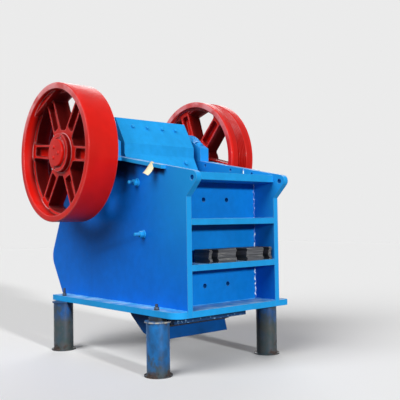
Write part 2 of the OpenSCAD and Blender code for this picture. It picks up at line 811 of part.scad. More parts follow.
// The belt grooves lie in a band that is a little lower than the rim's two lands
groove_top = 20;
groove_foot = 9;
groove_band_d = 6;
function groove_points(y) = [
    [wheel_r - groove_band_d, y + groove_top / 2], [wheel_r - groove_band_d - groove_d, y + groove_foot / 2],
    [wheel_r - groove_band_d - groove_d, y - groove_foot / 2], [wheel_r - groove_band_d, y - groove_top / 2]
];
module grooved_rim() {
    last = (rim_in + rim_out) / 2 + (grooves - 1) / 2 * groove_pitch;
    band = grooves * groove_pitch / 2;
    middle = (rim_in + rim_out) / 2;
    turned() polygon(concat(
        rim_inner_points,
        [[wheel_r - rim_chamfer, rim_out], [wheel_r, rim_out - rim_chamfer], [wheel_r, middle + band + 6]],
        [[wheel_r - groove_band_d, middle + band]],
        [for (k = [0:grooves - 1]) for (p = groove_points(last - k * groove_pitch)) p],
        [[wheel_r - groove_band_d, middle - band], [wheel_r, middle - band - 6]],
        [[wheel_r, rim_in + rim_chamfer], [wheel_r - rim_chamfer, rim_in]]
    ));
}
// The hub has a raised ring round the cap, with a groove inside it and two holes for a puller
hub_ring_r = 207;
hub_groove_w = 15;
puller_r = 12;
puller_at = cap_r + hub_groove_w + 15;
puller_turn = 69;
hub_edge = 8;
module hub() {
    difference() {
        turned() polygon([
            [shaft_r + seat_gap, hub_in], [hub_r - hub_edge, hub_in], [hub_r, hub_in + hub_edge],
            [hub_r, spoke_face + 3], [hub_ring_r, spoke_face + 3], [hub_ring_r - 4, hub_out],
            [cap_r + hub_groove_w, hub_out], [cap_r + hub_groove_w - 4, hub_out - hub_groove_w],
            [cap_r + 2, hub_out - hub_groove_w], [cap_r + 2, hub_out], [shaft_r + seat_gap, hub_out]
        ]);
        for (a = [puller_turn, puller_turn + 180]) rotate([0, -a, 0])
            bar_y(puller_r, hub_out - 60, hub_out + 1, puller_at, 0);
    }
}
// One spoke of an I section, from inside the hub to inside the rim
pocket_from = hub_r + 40;
pocket_to = rim_r - rim_rib_t - 40;
// Half of a spoke's outline, with the cast fillets that run into the hub and the rim
hub_fillet = 45;
rim_fillet = 34;
fillet_sink = 6;
root_c = let (v = spoke_w / 2 + hub_fillet) [sqrt((hub_r - fillet_sink + hub_fillet) ^ 2 - v ^ 2), v];
tip_c = let (v = spoke_tip_w / 2 + rim_fillet, r = rim_r - rim_rib_t + fillet_sink - rim_fillet) [sqrt(r ^ 2 - v ^ 2), v];
root_a = atan2(root_c[1], root_c[0]) + 180;
tip_a = atan2(tip_c[1], tip_c[0]);
spoke_half = concat(
    [for (k = [0:6]) let (a = root_a + (270 - root_a) * k / 6) root_c + hub_fillet * [cos(a), sin(a)]],
    [for (k = [0:6]) let (a = -90 + (tip_a + 90) * k / 6) tip_c + rim_fillet * [cos(a), sin(a)]]
);
module spoke() {
    pocket_a = spoke_w / 2 - spoke_edge;
    pocket_b = spoke_tip_w / 2 - spoke_edge;
    difference() {
        upright(spoke_back, spoke_face) polygon(concat(
            [[hub_r - 60, spoke_w / 4]], spoke_half, [[rim_r + 15, spoke_tip_w / 4], [rim_r + 15, -spoke_tip_w / 4]],
            [for (k = [len(spoke_half) - 1:-1:0]) [spoke_half[k][0], -spoke_half[k][1]]], [[hub_r - 60, -spoke_w / 4]]
        ));
        for (y = [spoke_back - 1, spoke_face + 1 - (spoke_d - spoke_web) / 2])
            upright(y, y + (spoke_d - spoke_web) / 2) polygon([
                [pocket_from - 20, pocket_a - 20], [pocket_from - 20, 20 - pocket_a], [pocket_from, -pocket_a],
                [pocket_to - 20, -pocket_b], [pocket_to, 20 - pocket_b], [pocket_to, pocket_b - 20],
                [pocket_to - 20, pocket_b], [pocket_from, pocket_a]
            ]);
    }
}
module balance_weight() {
    upright(spoke_back + 20, rim_out - 50) intersection() {
        circle(r = rim_r + 10);
        rotate(120) translate([weight_flat, -500]) square([300, 1000]);
    }
}
module wheel_body(turn) {
    hub();
    rotate([0, turn, 0]) {
        for (k = [0:spokes - 1]) rotate([0, -360 / spokes * k, 0]) spoke();
        balance_weight();
    }
}

module flywheel() {
    color(signal_red) placed() translate([shaft[0], 0, shaft[1]]) mirror([0, 1, 0]) {
        plain_rim();
        wheel_body(spoke_turn);
    }
}
module sheave() {
    color(signal_red) placed() translate([shaft[0], 0, shaft[1]]) {
        grooved_rim();
        wheel_body(sheave_turn);
    }
}

// Discs over the shaft's two ends, each with three bolts
cap_t = 30;
cap_bolt_at = 64;
cap_bolt_r = 17;
cap_bolt_h = 12;
module shaft_caps() {
    color(signal_red) placed() for (side = [-1, 1]) on_side(side > 0) {
        bar_y(cap_r, hub_out, hub_out + cap_t, shaft[0], shaft[1]);
        for (a = [0, 120, 240]) translate([shaft[0], hub_out + cap_t, shaft[1]]) rotate([0, a + spoke_turn, 0])
            translate([cap_bolt_at, 0, 0]) rotate([-90, 0, 0]) hex_head(cap_bolt_r, cap_bolt_h);
    }
}

side_plate(false);  // side_plate_left
side_plate(true);  // side_plate_right
base_flange(false);  // base_flange_left
base_flange(true);  // base_flange_right
front_wall();
front_rib(3, top_rib_t);  // front_rib_top
front_rib(2, rib_t);  // front_rib_upper
front_rib(1, rib_t);  // front_rib_lower
front_rib(0, base_t);  // base_bar_front
base_bar_rear();
rear_wall();
rear_ribs();
bearing_ledge(false);  // bearing_ledge_left
bearing_ledge(true);  // bearing_ledge_right
bearing_housing(false);  // bearing_housing_left
bearing_housing(true);  // bearing_housing_right
housing_bolts();
fixed_jaw_plate();
moving_jaw();
moving_jaw_plate();
jaw_plate_wedge();
jaw_bearings();
cheek_plates(false);  // cheek_plates_left
cheek_plates(true);  // cheek_plates_right
cheek_bolts();
jaw_guard();
guard_brackets();
guard_bolts();
toggle_plate();
toggle_seat();
toggle_block();
tension_rods();
tension_springs();
shim_stack();
leg(leg_front, -1, packing_t);  // leg_front_left
leg(leg_front, 1, 0);  // leg_front_right
leg(leg_rear, -1, 0);  // leg_rear_left
leg(leg_rear, 1, 0);  // leg_rear_right
leg_bolts();
main_shaft();
flywheel();
sheave();
shaft_caps();
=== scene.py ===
"""Dresses the packed jaw crusher with cast wheels, fasteners, weld beads, paint and a studio stage."""

import json
import math

import bmesh
import bpy
from mathutils import Matrix, Vector, noise


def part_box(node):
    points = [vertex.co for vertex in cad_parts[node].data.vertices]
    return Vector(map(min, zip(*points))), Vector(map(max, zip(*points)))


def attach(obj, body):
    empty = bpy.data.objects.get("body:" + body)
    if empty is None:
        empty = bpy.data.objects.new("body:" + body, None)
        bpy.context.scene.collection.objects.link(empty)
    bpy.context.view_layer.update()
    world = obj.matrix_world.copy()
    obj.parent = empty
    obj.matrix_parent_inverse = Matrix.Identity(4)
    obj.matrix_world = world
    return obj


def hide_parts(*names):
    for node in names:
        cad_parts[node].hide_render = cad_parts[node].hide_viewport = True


bl_info = {
    "name": "Jaw crusher dressing",
    "version": (1, 0, 0),
    "blender": (4, 5, 0),
    "location": "3D View > Sidebar > Crusher",
    "description": "Adds castings, fasteners, welds and paint to the packed jaw crusher",
    "category": "Object",
}

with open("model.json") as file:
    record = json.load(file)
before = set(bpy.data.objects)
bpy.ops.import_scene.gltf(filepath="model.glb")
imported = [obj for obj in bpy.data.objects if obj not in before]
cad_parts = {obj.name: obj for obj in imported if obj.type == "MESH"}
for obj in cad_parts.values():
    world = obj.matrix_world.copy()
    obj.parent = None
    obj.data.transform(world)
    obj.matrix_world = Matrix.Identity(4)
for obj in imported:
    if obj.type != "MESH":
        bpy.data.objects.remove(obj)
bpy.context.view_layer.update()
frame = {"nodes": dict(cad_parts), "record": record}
NODES = frame["nodes"]

# Places taken from the packed solids, in metres. FRONT is the frame's front face and BASE its underside.
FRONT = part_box("base_bar_front")[1].x
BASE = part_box("base_bar_front")[0].z
SHAFT = (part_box("main_shaft")[0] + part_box("main_shaft")[1]) / 2

# Sizes that the finishes and fittings share with the packed solids, in metres. Heights count from BASE.
PLATE_OUT, PLATE_IN = 0.615, 0.555  # outer and inner face of a side plate, from the middle
EDGE_TOP, EDGE_SLOPE = 1.368, math.tan(math.radians(11))  # its top edge at FRONT, and the rise behind it
LEDGE = 0.036  # thickness of the ledge along that edge
FLANGE_TOP = 0.060
RIB_TOPS, RIB_FEET = (FLANGE_TOP, 0.484, 0.910), (0.426, 0.852, 1.278)  # foot and head of the three front bays
TOP_RIB = 1.350  # upper face of the top rib
PIPE, PIPE_Y, PIPE_X = 0.1095, 0.732, (-0.300, -2.085)  # radius and places of the legs
PIPE_FOOT, PIPE_CAP, PACKING = 0.012, 0.014, 0.034  # thickness of their plates and of the packing disc


def machine(x, y, z):
    """A point given from the frame's front face and underside."""
    return Vector((FRONT + x, y, BASE + z))


def ledge_top(back):
    """Height of a side plate's sloping top edge, at a length behind the front face."""
    return EDGE_TOP + back * EDGE_SLOPE


# Shader wiring

class Wire:
    """A socket that takes part in sums; each sum adds its Math node."""

    def __init__(self, paint, socket):
        self.paint = paint
        self.socket = socket

    def _math(self, operation, first, second=None):
        sockets = {0: first} if second is None else {0: first, 1: second}
        return self.paint.node("ShaderNodeMath", {"operation": operation}, sockets).out("Value")

    def __add__(self, other):
        return self._math("ADD", self, other)

    __radd__ = __add__

    def __sub__(self, other):
        return self._math("SUBTRACT", self, other)

    def __rsub__(self, other):
        return self._math("SUBTRACT", other, self)

    def __mul__(self, other):
        return self._math("MULTIPLY", self, other)

    __rmul__ = __mul__

    def __truediv__(self, other):
        return self._math("DIVIDE", self, other)

    def __pow__(self, other):
        return self._math("POWER", self, other)

    def clamped(self):
        return self._math("MINIMUM", self._math("MAXIMUM", self, 0.0), 1.0)

    def fraction(self):
        return self._math("FRACT", self)

    def step(self, low, high):
        """0 below low, 1 above high and smooth between them."""
        return self.paint.node(
            "ShaderNodeMapRange", {"interpolation_type": "SMOOTHSTEP"},
            {"Value": self, "From Min": low, "From Max": high},
        ).out("Result")


class Made:
    """A node whose outputs are taken as wires."""

    def __init__(self, paint, node):
        self.paint = paint
        self.node = node

    def out(self, name):
        return Wire(self.paint, self.node.outputs[name])


class Nodes:
    """Adds nodes to a shader tree."""

    def __init__(self, tree):
        self.tree = tree

    def node(self, kind, settings=None, sockets=None):
        made = self.tree.nodes.new(kind)
        for key, value in (settings or {}).items():
            setattr(made, key, value)
        for key, value in (sockets or {}).items():
            self.link(made.inputs[key], value)
        return Made(self, made)

    def link(self, socket, value):
        if isinstance(value, Wire):
            self.tree.links.new(value.socket, socket)
        elif isinstance(value, (tuple, list)) and len(value) == 3 and socket.type == "RGBA":
            socket.default_value = (*value, 1.0)
        else:
            socket.default_value = value


class Paint(Nodes):
    """A material whose principled shader is fed from procedural nodes."""

    def __init__(self, name, roughness=0.5, metallic=0.0, **fixed):
        self.material = bpy.data.materials.new(name)
        self.material.use_nodes = True
        super().__init__(self.material.node_tree)
        self.shader = self.tree.nodes["Principled BSDF"]
        self.set("Roughness", roughness)
        self.set("Metallic", metallic)
        for key, value in fixed.items():
            self.set(key.replace("_", " "), value)
        self.place = self.node("ShaderNodeTexCoord").out("Object")

    def set(self, name, value):
        self.link(self.shader.inputs[name], value)

    def noise(self, scale, detail=3.0, rough=0.55, stretch=None):
        place = self.place
        if stretch:
            place = self.node("ShaderNodeMapping", None, {"Vector": place, "Scale": stretch}).out("Vector")
        return self.node(
            "ShaderNodeTexNoise", None,
            {"Vector": place, "Scale": scale, "Detail": detail, "Roughness": rough},
        ).out("Fac")

    def mix(self, factor, first, second):
        return self.node(
            "ShaderNodeMix", {"data_type": "RGBA"}, {"Factor": factor, 6: first, 7: second},
        ).out(2)

    def flat(self):
        """The normal of the surface as built."""
        return self.node("ShaderNodeNewGeometry").out("Normal")

    def split(self, vector, axis):
        return self.node("ShaderNodeSeparateXYZ", None, {"Vector": vector}).out(axis)

    def facing(self, axis, low=0.55, high=0.95):
        """1 where a surface faces along the axis, such as Z for up, and 0 where it faces elsewhere."""
        return self.split(self.flat(), axis).step(low, high)

    def along(self, axis):
        return self.split(self.place, axis)

    def bump(self, height, strength, distance, under=None):
        sockets = {"Height": height, "Strength": strength, "Distance": distance}
        if under is not None:
            sockets["Normal"] = under
        return self.node("ShaderNodeBump", None, sockets).out("Normal")

    def soft_edge(self, radius):
        """The normal of the surface as if its edges were rounded."""
        return self.node("ShaderNodeBevel", {"samples": 4}, {"Radius": radius}).out("Normal")

    def edge(self, soft):
        """How far a rounded normal leans from the flat one: high along edges."""
        dot = self.node("ShaderNodeVectorMath", {"operation": "DOT_PRODUCT"}, {0: soft, 1: self.flat()})
        return 1.0 - dot.out("Value")


def shade(colour, factor):
    """A colour made darker or paler."""
    return tuple(min(1.0, c * factor) for c in colour)


def enamel(name, colour, wear_and_highlight, dusty=0.30, edge_r=0.004, ahead=None, fade=0.9, shadow_under_ledge=False):
    """Brushed and sprayed enamel: uneven tone, runs, dust on what faces up, chipped edges, and paler edges that are
    partly wear and partly a painted highlight.

    A colour given as ahead is painted light: faces that look forward take it, and so do the sides near the front,
    fading out over the sides behind them.
    Where asked, a very dark painted shadow lies under the ledge: below the bearing, and below the ledge's front end.
    """
    gloss, dust, primer, painted_shadow = 0.34, (0.46, 0.66, 0.82), (0.20, 0.21, 0.22), (0.002, 0.010, 0.042)
    p = Paint(name, gloss, 0.0, Coat_Roughness=0.14, IOR=1.5, Specular_IOR_Level=0.04)
    broad = p.noise(1.1, 3)
    fine = p.noise(14, 4)
    tone = p.mix((broad * 0.7 + fine * 0.3).step(0.30, 0.72), shade(colour, 0.84), shade(colour, 1.12))
    # Painted light: the front faces and the front part of the sides turn paler, as if lit more strongly from the
    # front.
    if ahead:
        painted_front_light = p.along("X").step(FRONT - fade, FRONT + 0.15) * p.along("Z").step(BASE, BASE + 1.4)
        tone = p.mix((p.facing("X", 0.35, 0.75) + painted_front_light * (0.6 + broad * 0.8)).clamped() * 0.92, tone, ahead)
    # Painted shadow under the ledge, very dark, below the bearing and below the ledge's front end.
    if shadow_under_ledge:
        back = FRONT - p.along("X")
        below = BASE + EDGE_TOP - LEDGE + back * EDGE_SLOPE - p.along("Z")
        bearing = back.step(0.70, 0.84) * (1.0 - below.step(0.09, 0.22))
        end = back.step(0.31, 0.34) * (1.0 - back.step(0.48, 0.60)) * (1.0 - below.step(0.03, 0.085))
        tone = p.mix((bearing + end).clamped() * below.step(-0.002, 0.002) * 0.93, tone, painted_shadow)
    streak = p.noise(5.0, 4, 0.6, (1.0, 1.0, 0.14)).step(0.58, 0.80)
    tone = p.mix(streak * 0.20, tone, shade(colour, 0.60))
    soft = p.soft_edge(edge_r)
    along = p.edge(soft)
    # Paler edges: partly wear, partly a painted highlight along the rounded edges.
    edge_wear_and_highlight = (along * (0.6 + p.noise(9, 4))).clamped() * 0.9
    tone = p.mix(edge_wear_and_highlight, tone, wear_and_highlight)
    chipped = (along * 3.0 + p.noise(55, 5, 0.7)).step(1.10, 1.24)
    tone = p.mix(chipped * 0.6, tone, primer)
    settled = (p.facing("Z") * p.noise(7, 4).step(0.25, 0.75)).clamped() * dusty
    tone = p.mix(settled, tone, dust)
    p.set("Base Color", tone)
    p.set("Roughness", gloss + fine * 0.12 + settled * 0.5 + chipped * 0.2)
    p.set("Coat Weight", 0.03 - settled * 0.03)
    peel = p.noise(160, 2) * 0.25 + p.noise(9, 2)
    p.set("Normal", p.bump(peel, 0.10, 0.004, soft))
    return p.material


def cast_enamel(name, colour, wear_and_highlight, gloss=0.28, settle=(0.40, 0.15, 0.14), edge_r=0.006,
                shine=0.10, shade_below_frame=None, sprayed=None, deep_shade=None):
    """Enamel over a sand casting: grainy, and paler along its edges, partly from wear and partly as a painted
    highlight.

    The colour for below the frame is painted shade, darker towards the bottom; sprayed is the colour above the
    ledges; the colour for deep in a wheel is painted shade there.
    """
    p = Paint(name, gloss, 0.0, Coat_Roughness=0.12, IOR=1.5, Specular_IOR_Level=shine)
    grain = p.noise(120, 4)
    tone = p.mix(p.noise(2.2, 3).step(0.30, 0.70), shade(colour, 0.86), shade(colour, 1.06))
    if sprayed:
        tone = p.mix(p.along("Z").step(BASE + 1.46, BASE + 1.52), tone, sprayed)
    # Painted shade deep inside a wheel: the inside of the rim and the flanks of spokes and hub go dark away from the
    # outer faces, and lose gloss there.
    deep_shade_mask = 0.0
    if deep_shade:
        w = sizes("crusher_wheels")
        inner, middle, half = w.radius - w.rim_thickness, (w.rim_in + w.rim_out) / 2, (w.rim_out - w.rim_in) / 2
        x, y, z = (p.along(axis) for axis in "XYZ")
        across = p.split(p.flat(), "Y")
        sideways = across * across
        from_shaft = ((x - SHAFT.x) ** 2 + (z - SHAFT.z) ** 2) ** 0.5
        from_face = half - (((y * y) ** 0.5 - middle) ** 2) ** 0.5
        inside = 1.0 - from_shaft.step(inner + 0.002, inner + 0.008)
        deep_shade_mask = from_face.step(0.030, 0.130) * (1.0 - sideways.step(0.30, 0.80)) * inside
        tone = p.mix(deep_shade_mask * (0.62 + p.noise(5, 4) * 0.30), tone, deep_shade)
    soft = p.soft_edge(edge_r)
    along = p.edge(soft)
    # Paler edges: partly wear, partly a painted highlight.
    edge_wear_and_highlight = (along * (0.8 + p.noise(11, 4) * 1.4)).clamped()
    if deep_shade:
        # Painted shade in the sheave's grooves: they get darker and keep no pale edges.
        grooves = from_shaft.step(w.radius - 0.045, w.radius - 0.038) * from_face.step(0.030, 0.045)
        grooves = grooves * y.step(0.0, 0.1)
        # On a wheel the paler edges are a wide pink painted highlight.
        edge_wear_and_highlight = (p.edge(p.soft_edge(edge_r * 2.2)) * (1.4 + p.noise(9, 4) * 5.0) - 0.10).clamped() * 0.90
        edge_wear_and_highlight = edge_wear_and_highlight * (1.0 - grooves)
        # Painted highlight: a pale patch on the upper part of the rim's side faces, standing for a reflection of the
        # light above.
        bloom = sideways.step(0.60, 0.95) * from_shaft.step(inner - 0.010, w.radius - 0.060)
        bloom = bloom * (z - SHAFT.z).step(0.05, 0.60) * (0.30 + p.noise(6, 4).step(0.35, 0.70))
        tone = p.mix(bloom.clamped() * 0.62, tone, wear_and_highlight)
        tone = p.mix(grooves * 0.45, tone, shade(colour, 0.55))
    tone = p.mix(edge_wear_and_highlight, tone, wear_and_highlight)
    # Painted shade: darker towards the bottom, below the frame.
    if shade_below_frame:
        low = 1.0 - p.along("Z").step(BASE - 0.10, BASE + 0.25)
        tone = p.mix((low * (0.55 + p.noise(4, 5) * 0.5)).clamped(), tone, shade_below_frame)
    if not deep_shade:
        chipped = (along * 2.6 + p.noise(60, 5, 0.7)).step(1.16, 1.28)
        tone = p.mix(chipped * 0.5, tone, (0.16, 0.10, 0.09))
    settled = p.facing("Z") * p.noise(8, 4).step(0.35, 0.75) * 0.18
    tone = p.mix(settled, tone, settle)
    p.set("Base Color", tone)
    p.set("Roughness", gloss + grain * 0.12 + settled * 0.5 + deep_shade_mask * 0.45)
    p.set("Coat Weight", (shine - settled * 0.3) * (1.0 - deep_shade_mask))
    p.set("Normal", p.bump(grain * 0.6 + p.noise(24, 3), 0.16, 0.004, soft))
    return p.material


def worn_leg(name, blue=(0.010, 0.142, 0.410), deep=(0.011, 0.070, 0.190), pale_cap=0.0, soiled=(0.02, 0.15)):
    """Old enamel on pipe: rubbed dull in places, grey and greenish where bare, brown near the ends.

    Over the heights given as soiled, dirt from the floor gives way to the enamel above it. pale_cap is how
    much paler the cap plate below a packing disc is, and how dark the disc is painted as painted shadow.
    """
    slate, scraped, card, packing_shadow = (0.035, 0.050, 0.055), (0.16, 0.20, 0.22), (0.42, 0.41, 0.36), (0.008, 0.010, 0.012)
    p = Paint(name, 0.5, 0.0, IOR=1.5, Specular_IOR_Level=0.25)
    broad = p.noise(3.4, 4, 0.6)
    tone = p.mix(p.noise(8, 4, 0.6, (1.0, 1.0, 0.5)).step(0.35, 0.65), deep, blue)
    bare = (broad + p.noise(15, 5, 0.65, (1.0, 1.0, 0.4)) * 0.35).step(0.68, 0.80)
    tone = p.mix(bare * 0.85, tone, slate)
    height = p.along("Z")
    soil = 1.0 - (height + broad * 0.12 - 0.06).step(*soiled)
    dirt = p.mix(p.noise(13, 4, 0.6).step(0.35, 0.65), (0.034, 0.056, 0.055), (0.060, 0.063, 0.060))
    tone = p.mix(soil * 0.88, tone, dirt)
    ends = (1.0 - height.step(0.0, 0.13)) * 0.17 + height.step(0.44, 0.55) * 0.06
    eaten = (p.noise(6, 7, 0.7) + ends).step(0.60, 0.72)
    brown = p.mix(p.noise(40, 4).step(0.3, 0.7), (0.022, 0.016, 0.014), (0.085, 0.045, 0.032))
    tone = p.mix(eaten * 0.8, tone, brown)
    scrape = p.noise(26, 5, 0.7, (1.0, 1.0, 0.25)).step(0.66, 0.74)
    tone = p.mix(scrape * 0.35, tone, scraped)
    top = BASE - PACKING
    foot = top - PIPE_CAP
    cap = height.step(foot - 0.002, foot + 0.002) * (1.0 - height.step(top - 0.002, top + 0.001))
    tone = p.mix(cap * p.noise(30, 4).step(0.3, 0.6) * pale_cap, tone, card)
    # Painted shadow: the packing disc between the cap and the frame goes very dark.
    tone = p.mix(height.step(top - 0.001, top + 0.004) * pale_cap, tone, packing_shadow)
    p.set("Base Color", tone)
    p.set("Roughness", 0.42 + eaten * 0.40 + bare * 0.15)
    p.set("Normal", p.bump(p.noise(70, 5, 0.7) * eaten + bare * 0.25, 0.35, 0.003, p.soft_edge(0.003)))
    return p.material


def bare_steel(name, colour, rust=0.3, roughness=0.42, grain=(1.0, 1.0, 1.0)):
    """Rolled or machined steel that has started to brown."""
    p = Paint(name, roughness, 0.85, IOR=2.2)
    fine = p.noise(60, 5, 0.65, grain)
    tone = p.mix(fine.step(0.25, 0.75), shade(colour, 0.6), colour)
    spots = p.noise(12, 6, 0.7).step(0.70 - rust * 0.35, 0.86 - rust * 0.35)
    browned = p.mix(p.noise(80, 4).step(0.3, 0.7), (0.075, 0.035, 0.020), (0.20, 0.095, 0.045))
    p.set("Base Color", p.mix(spots * 0.85, tone, browned))
    p.set("Metallic", 0.85 - spots * 0.8)
    p.set("Roughness", roughness + fine * 0.14 + spots * 0.35)
    p.set("Normal", p.bump(fine + spots * p.noise(150, 3), 0.25, 0.002, p.soft_edge(0.002)))
    return p.material


def sheared_stack(name, base, pitch):
    """A stack of sheared plates: a dark line at each joint, bright rubbed corners, and painted shadow on faces turned
    towards -y.
    """
    p = Paint(name, 0.5, 0.15, IOR=1.7)
    height = (p.along("Z") - base) / pitch
    joint = height.fraction().step(0.0, 0.34) * (1.0 - height.fraction().step(0.78, 1.0))
    sheet = p.noise(7, 2, 0.5, (0.25, 0.25, 13.0)).step(0.40, 0.66)
    tone = p.mix(sheet, (0.024, 0.027, 0.036), (0.120, 0.126, 0.140))
    lip = p.noise(9, 3, 0.6, (0.5, 0.5, 9.0)).step(0.60, 0.66)
    tone = p.mix(lip * 0.55, tone, (0.46, 0.46, 0.42))
    rust = p.noise(18, 5, 0.7).step(0.62, 0.75)
    tone = p.mix(rust * 0.6, tone, (0.110, 0.075, 0.050))
    soft = p.soft_edge(0.004)
    rubbed = (p.edge(soft) * 2.2 + p.noise(45, 4, 0.7)).step(0.95, 1.15)
    tone = p.mix(rubbed * 0.85, tone, (0.62, 0.64, 0.64))
    flat = p.facing("Z")
    tone = p.mix(((1.0 - joint) * (1.0 - flat)).clamped() * 0.9, tone, (0.012, 0.012, 0.014))
    # Painted shadow: faces turned towards -y go very dark.
    tone = p.mix((1.0 - p.facing("Y", -0.85, -0.45)) * 0.85, tone, (0.006, 0.006, 0.010))
    p.set("Base Color", tone)
    p.set("Normal", p.bump(joint, 0.6, 0.003, soft))
    return p.material


def highlighted_weld(name):
    """A painted bead, spattered with pale spots that are painted highlights on its ripples, and dull in its valleys.
    """
    p = Paint(name, 0.55, 0.2, IOR=1.8)
    # Painted highlight: pale spots on the bead's ripples, over blue paint.
    lumps = p.noise(34, 2, 0.5).step(0.50, 0.57)
    p.set("Base Color", p.mix(lumps, (0.006, 0.130, 0.520), (0.66, 0.79, 0.88)))
    p.set("Normal", p.bump(p.noise(120, 3), 0.3, 0.002))
    return p.material


def cast_manganese(name, mist=None):
    """Wear steel as cast: dark, pitted, with a brown bloom; mist is paint that drifted onto its front."""
    p = Paint(name, 0.6, 0.6, IOR=1.5, Specular_IOR_Level=0.2)
    pits = p.noise(70, 6, 0.7)
    tone = p.mix(pits.step(0.3, 0.7), (0.030, 0.030, 0.033), (0.11, 0.11, 0.115))
    bloom = p.noise(6, 5, 0.6).step(0.48, 0.70)
    tone = p.mix(bloom * 0.55, tone, (0.14, 0.075, 0.045))
    painted = 0.0
    if mist:
        drifted = (p.facing("X", 0.2, 0.8) * p.noise(5, 4, 0.6, (1.0, 1.0, 0.5)).step(0.26, 0.50)).clamped()
        end = 1.0 - p.along("Z").step(BASE + 0.02, BASE + 0.12)
        painted = (drifted * 0.85 + end * (0.7 + pits * 0.5)).clamped()
        tone = p.mix(painted, tone, mist)
        # Painted highlight: pale blue dots along the lower end, on the ends of the teeth.
        tone = p.mix(end * p.noise(42, 2).step(0.60, 0.66) * 0.8, tone, (0.24, 0.46, 0.72))
    p.set("Base Color", tone)
    p.set("Metallic", (0.6 - bloom * 0.5) * (1.0 - painted))
    p.set("Roughness", 0.52 + pits * 0.25)
    p.set("Normal", p.bump(pits, 0.45, 0.004, p.soft_edge(0.003)))
    return p.material


def tag_card(name):
    """Buff card, slightly soiled."""
    p = Paint(name, 0.8)
    soil = p.noise(60, 4).step(0.45, 0.75)
    p.set("Base Color", p.mix(soil * 0.5, (0.72, 0.66, 0.44), (0.48, 0.42, 0.27)))
    p.set("Normal", p.bump(p.noise(400, 3), 0.1, 0.0004))
    return p.material


# Mesh work

def to_object(bm, name):
    """Links an object that holds a bmesh, and frees the bmesh."""
    mesh = bpy.data.meshes.new(name)
    bm.to_mesh(mesh)
    bm.free()
    obj = bpy.data.objects.new(name, mesh)
    bpy.context.scene.collection.objects.link(obj)
    return obj


def new_piece(bm, name, body, material, replaces=(), smooth=35.0, closed=True):
    """Turns a finished bmesh into a piece, smooth by angle, with its body, slot and material."""
    if closed:
        bm.normal_update()  # a mirrored bmesh still holds its old normals, which the next line reads
        bmesh.ops.recalc_face_normals(bm, faces=bm.faces)
    piece = to_object(bm, name)
    piece.data.materials.append(material)
    piece.data.shade_smooth()
    piece.data.set_sharp_from_angle(angle=math.radians(smooth))
    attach(piece, body)
    if replaces:
        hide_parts(*replaces)


def outline_face(bm, outline, place):
    """A face through an outline of (u, v) points. A point's third value is the radius that rounds it."""
    verts = [bm.verts.new(place(*point[:2])) for point in outline]
    bm.faces.new(verts)
    for vertex, point in zip(verts, outline):
        if any(point[2:]):
            bmesh.ops.bevel(
                bm, geom=[vertex], offset=point[2], offset_type="OFFSET", segments=5,
                profile=0.5, affect="VERTICES", material=-1,
            )


def slab(outline, y0, y1):
    """A plate whose outline of (x, z) points is drawn in the upright plane and runs from y0 to y1."""
    bm = bmesh.new()
    outline_face(bm, outline, lambda x, z: (x, y0, z))
    made = bmesh.ops.extrude_face_region(bm, geom=bm.faces[:])
    moved = [v for v in made["geom"] if isinstance(v, bmesh.types.BMVert)]
    bmesh.ops.translate(bm, verts=moved, vec=(0, y1 - y0, 0))
    bmesh.ops.recalc_face_normals(bm, faces=bm.faces)
    return bm


def spin_round(bm, axis, steps):
    """Spins a whole bmesh once round an axis through the origin and closes its seam."""
    bmesh.ops.spin(
        bm, geom=bm.verts[:] + bm.edges[:], cent=(0, 0, 0), axis=axis, dvec=(0, 0, 0),
        angle=math.tau, steps=steps, use_merge=True, use_duplicate=False,
    )
    bmesh.ops.remove_doubles(bm, verts=bm.verts, dist=1e-5)


def turned(profile, steps):
    """Spins a closed profile of (radius, y) about the y axis. An edge that lies on the axis is dropped."""
    bm = bmesh.new()
    outline_face(bm, profile, lambda r, y: (r, y, 0))
    bmesh.ops.delete(bm, geom=bm.faces[:], context="FACES_ONLY")
    on_axis = [e for e in bm.edges if all(abs(v.co.x) < 1e-6 for v in e.verts)]
    bmesh.ops.delete(bm, geom=on_axis, context="EDGES")
    spin_round(bm, (0, 1, 0), steps)
    bmesh.ops.recalc_face_normals(bm, faces=bm.faces)
    return bm


def merge_into(target, source, matrix=None):
    """Adds the geometry of one bmesh to another and frees it."""
    if matrix is not None:
        source.transform(matrix)
    mesh = bpy.data.meshes.new("part")
    source.to_mesh(mesh)
    source.free()
    target.from_mesh(mesh)
    bpy.data.meshes.remove(mesh)


def applied(obj):
    """The mesh that an object's modifiers give, as a bmesh; the object is removed."""
    bpy.context.view_layer.update()
    evaluated = obj.evaluated_get(bpy.context.evaluated_depsgraph_get())
    result = bmesh.new()
    result.from_mesh(evaluated.to_mesh())
    evaluated.to_mesh_clear()
    drop(obj)
    return result


def drop(obj):
    mesh = obj.data
    bpy.data.objects.remove(obj)
    bpy.data.meshes.remove(mesh)


def carve(body, cutters):
    """Cuts a list of bmeshes out of one bmesh and returns the result."""
    base = to_object(body, "carve_base")
    tools = bmesh.new()
    for cutter in cutters:
        merge_into(tools, cutter)
    tool = to_object(tools, "carve_tool")
    cut = base.modifiers.new("cut", "BOOLEAN")
    cut.operation = "DIFFERENCE"
    cut.solver = "EXACT"
    cut.object = tool
    result = applied(base)
    drop(tool)
    return result


def cast(bm, grain, passes, keep):
    """Fuses overlapping closed forms into one skin and rounds it, as a mould does."""
    obj = to_object(bm, "mould")
    skin = obj.modifiers.new("skin", "REMESH")
    skin.mode = "VOXEL"
    skin.voxel_size = grain
    fused = applied(obj)
    for _ in range(passes):
        bmesh.ops.smooth_vert(
            fused, verts=fused.verts, factor=0.5, use_axis_x=True, use_axis_y=True, use_axis_z=True,
        )
    obj = to_object(fused, "mould")
    thin = obj.modifiers.new("thin", "DECIMATE")
    thin.ratio = keep
    return applied(obj)


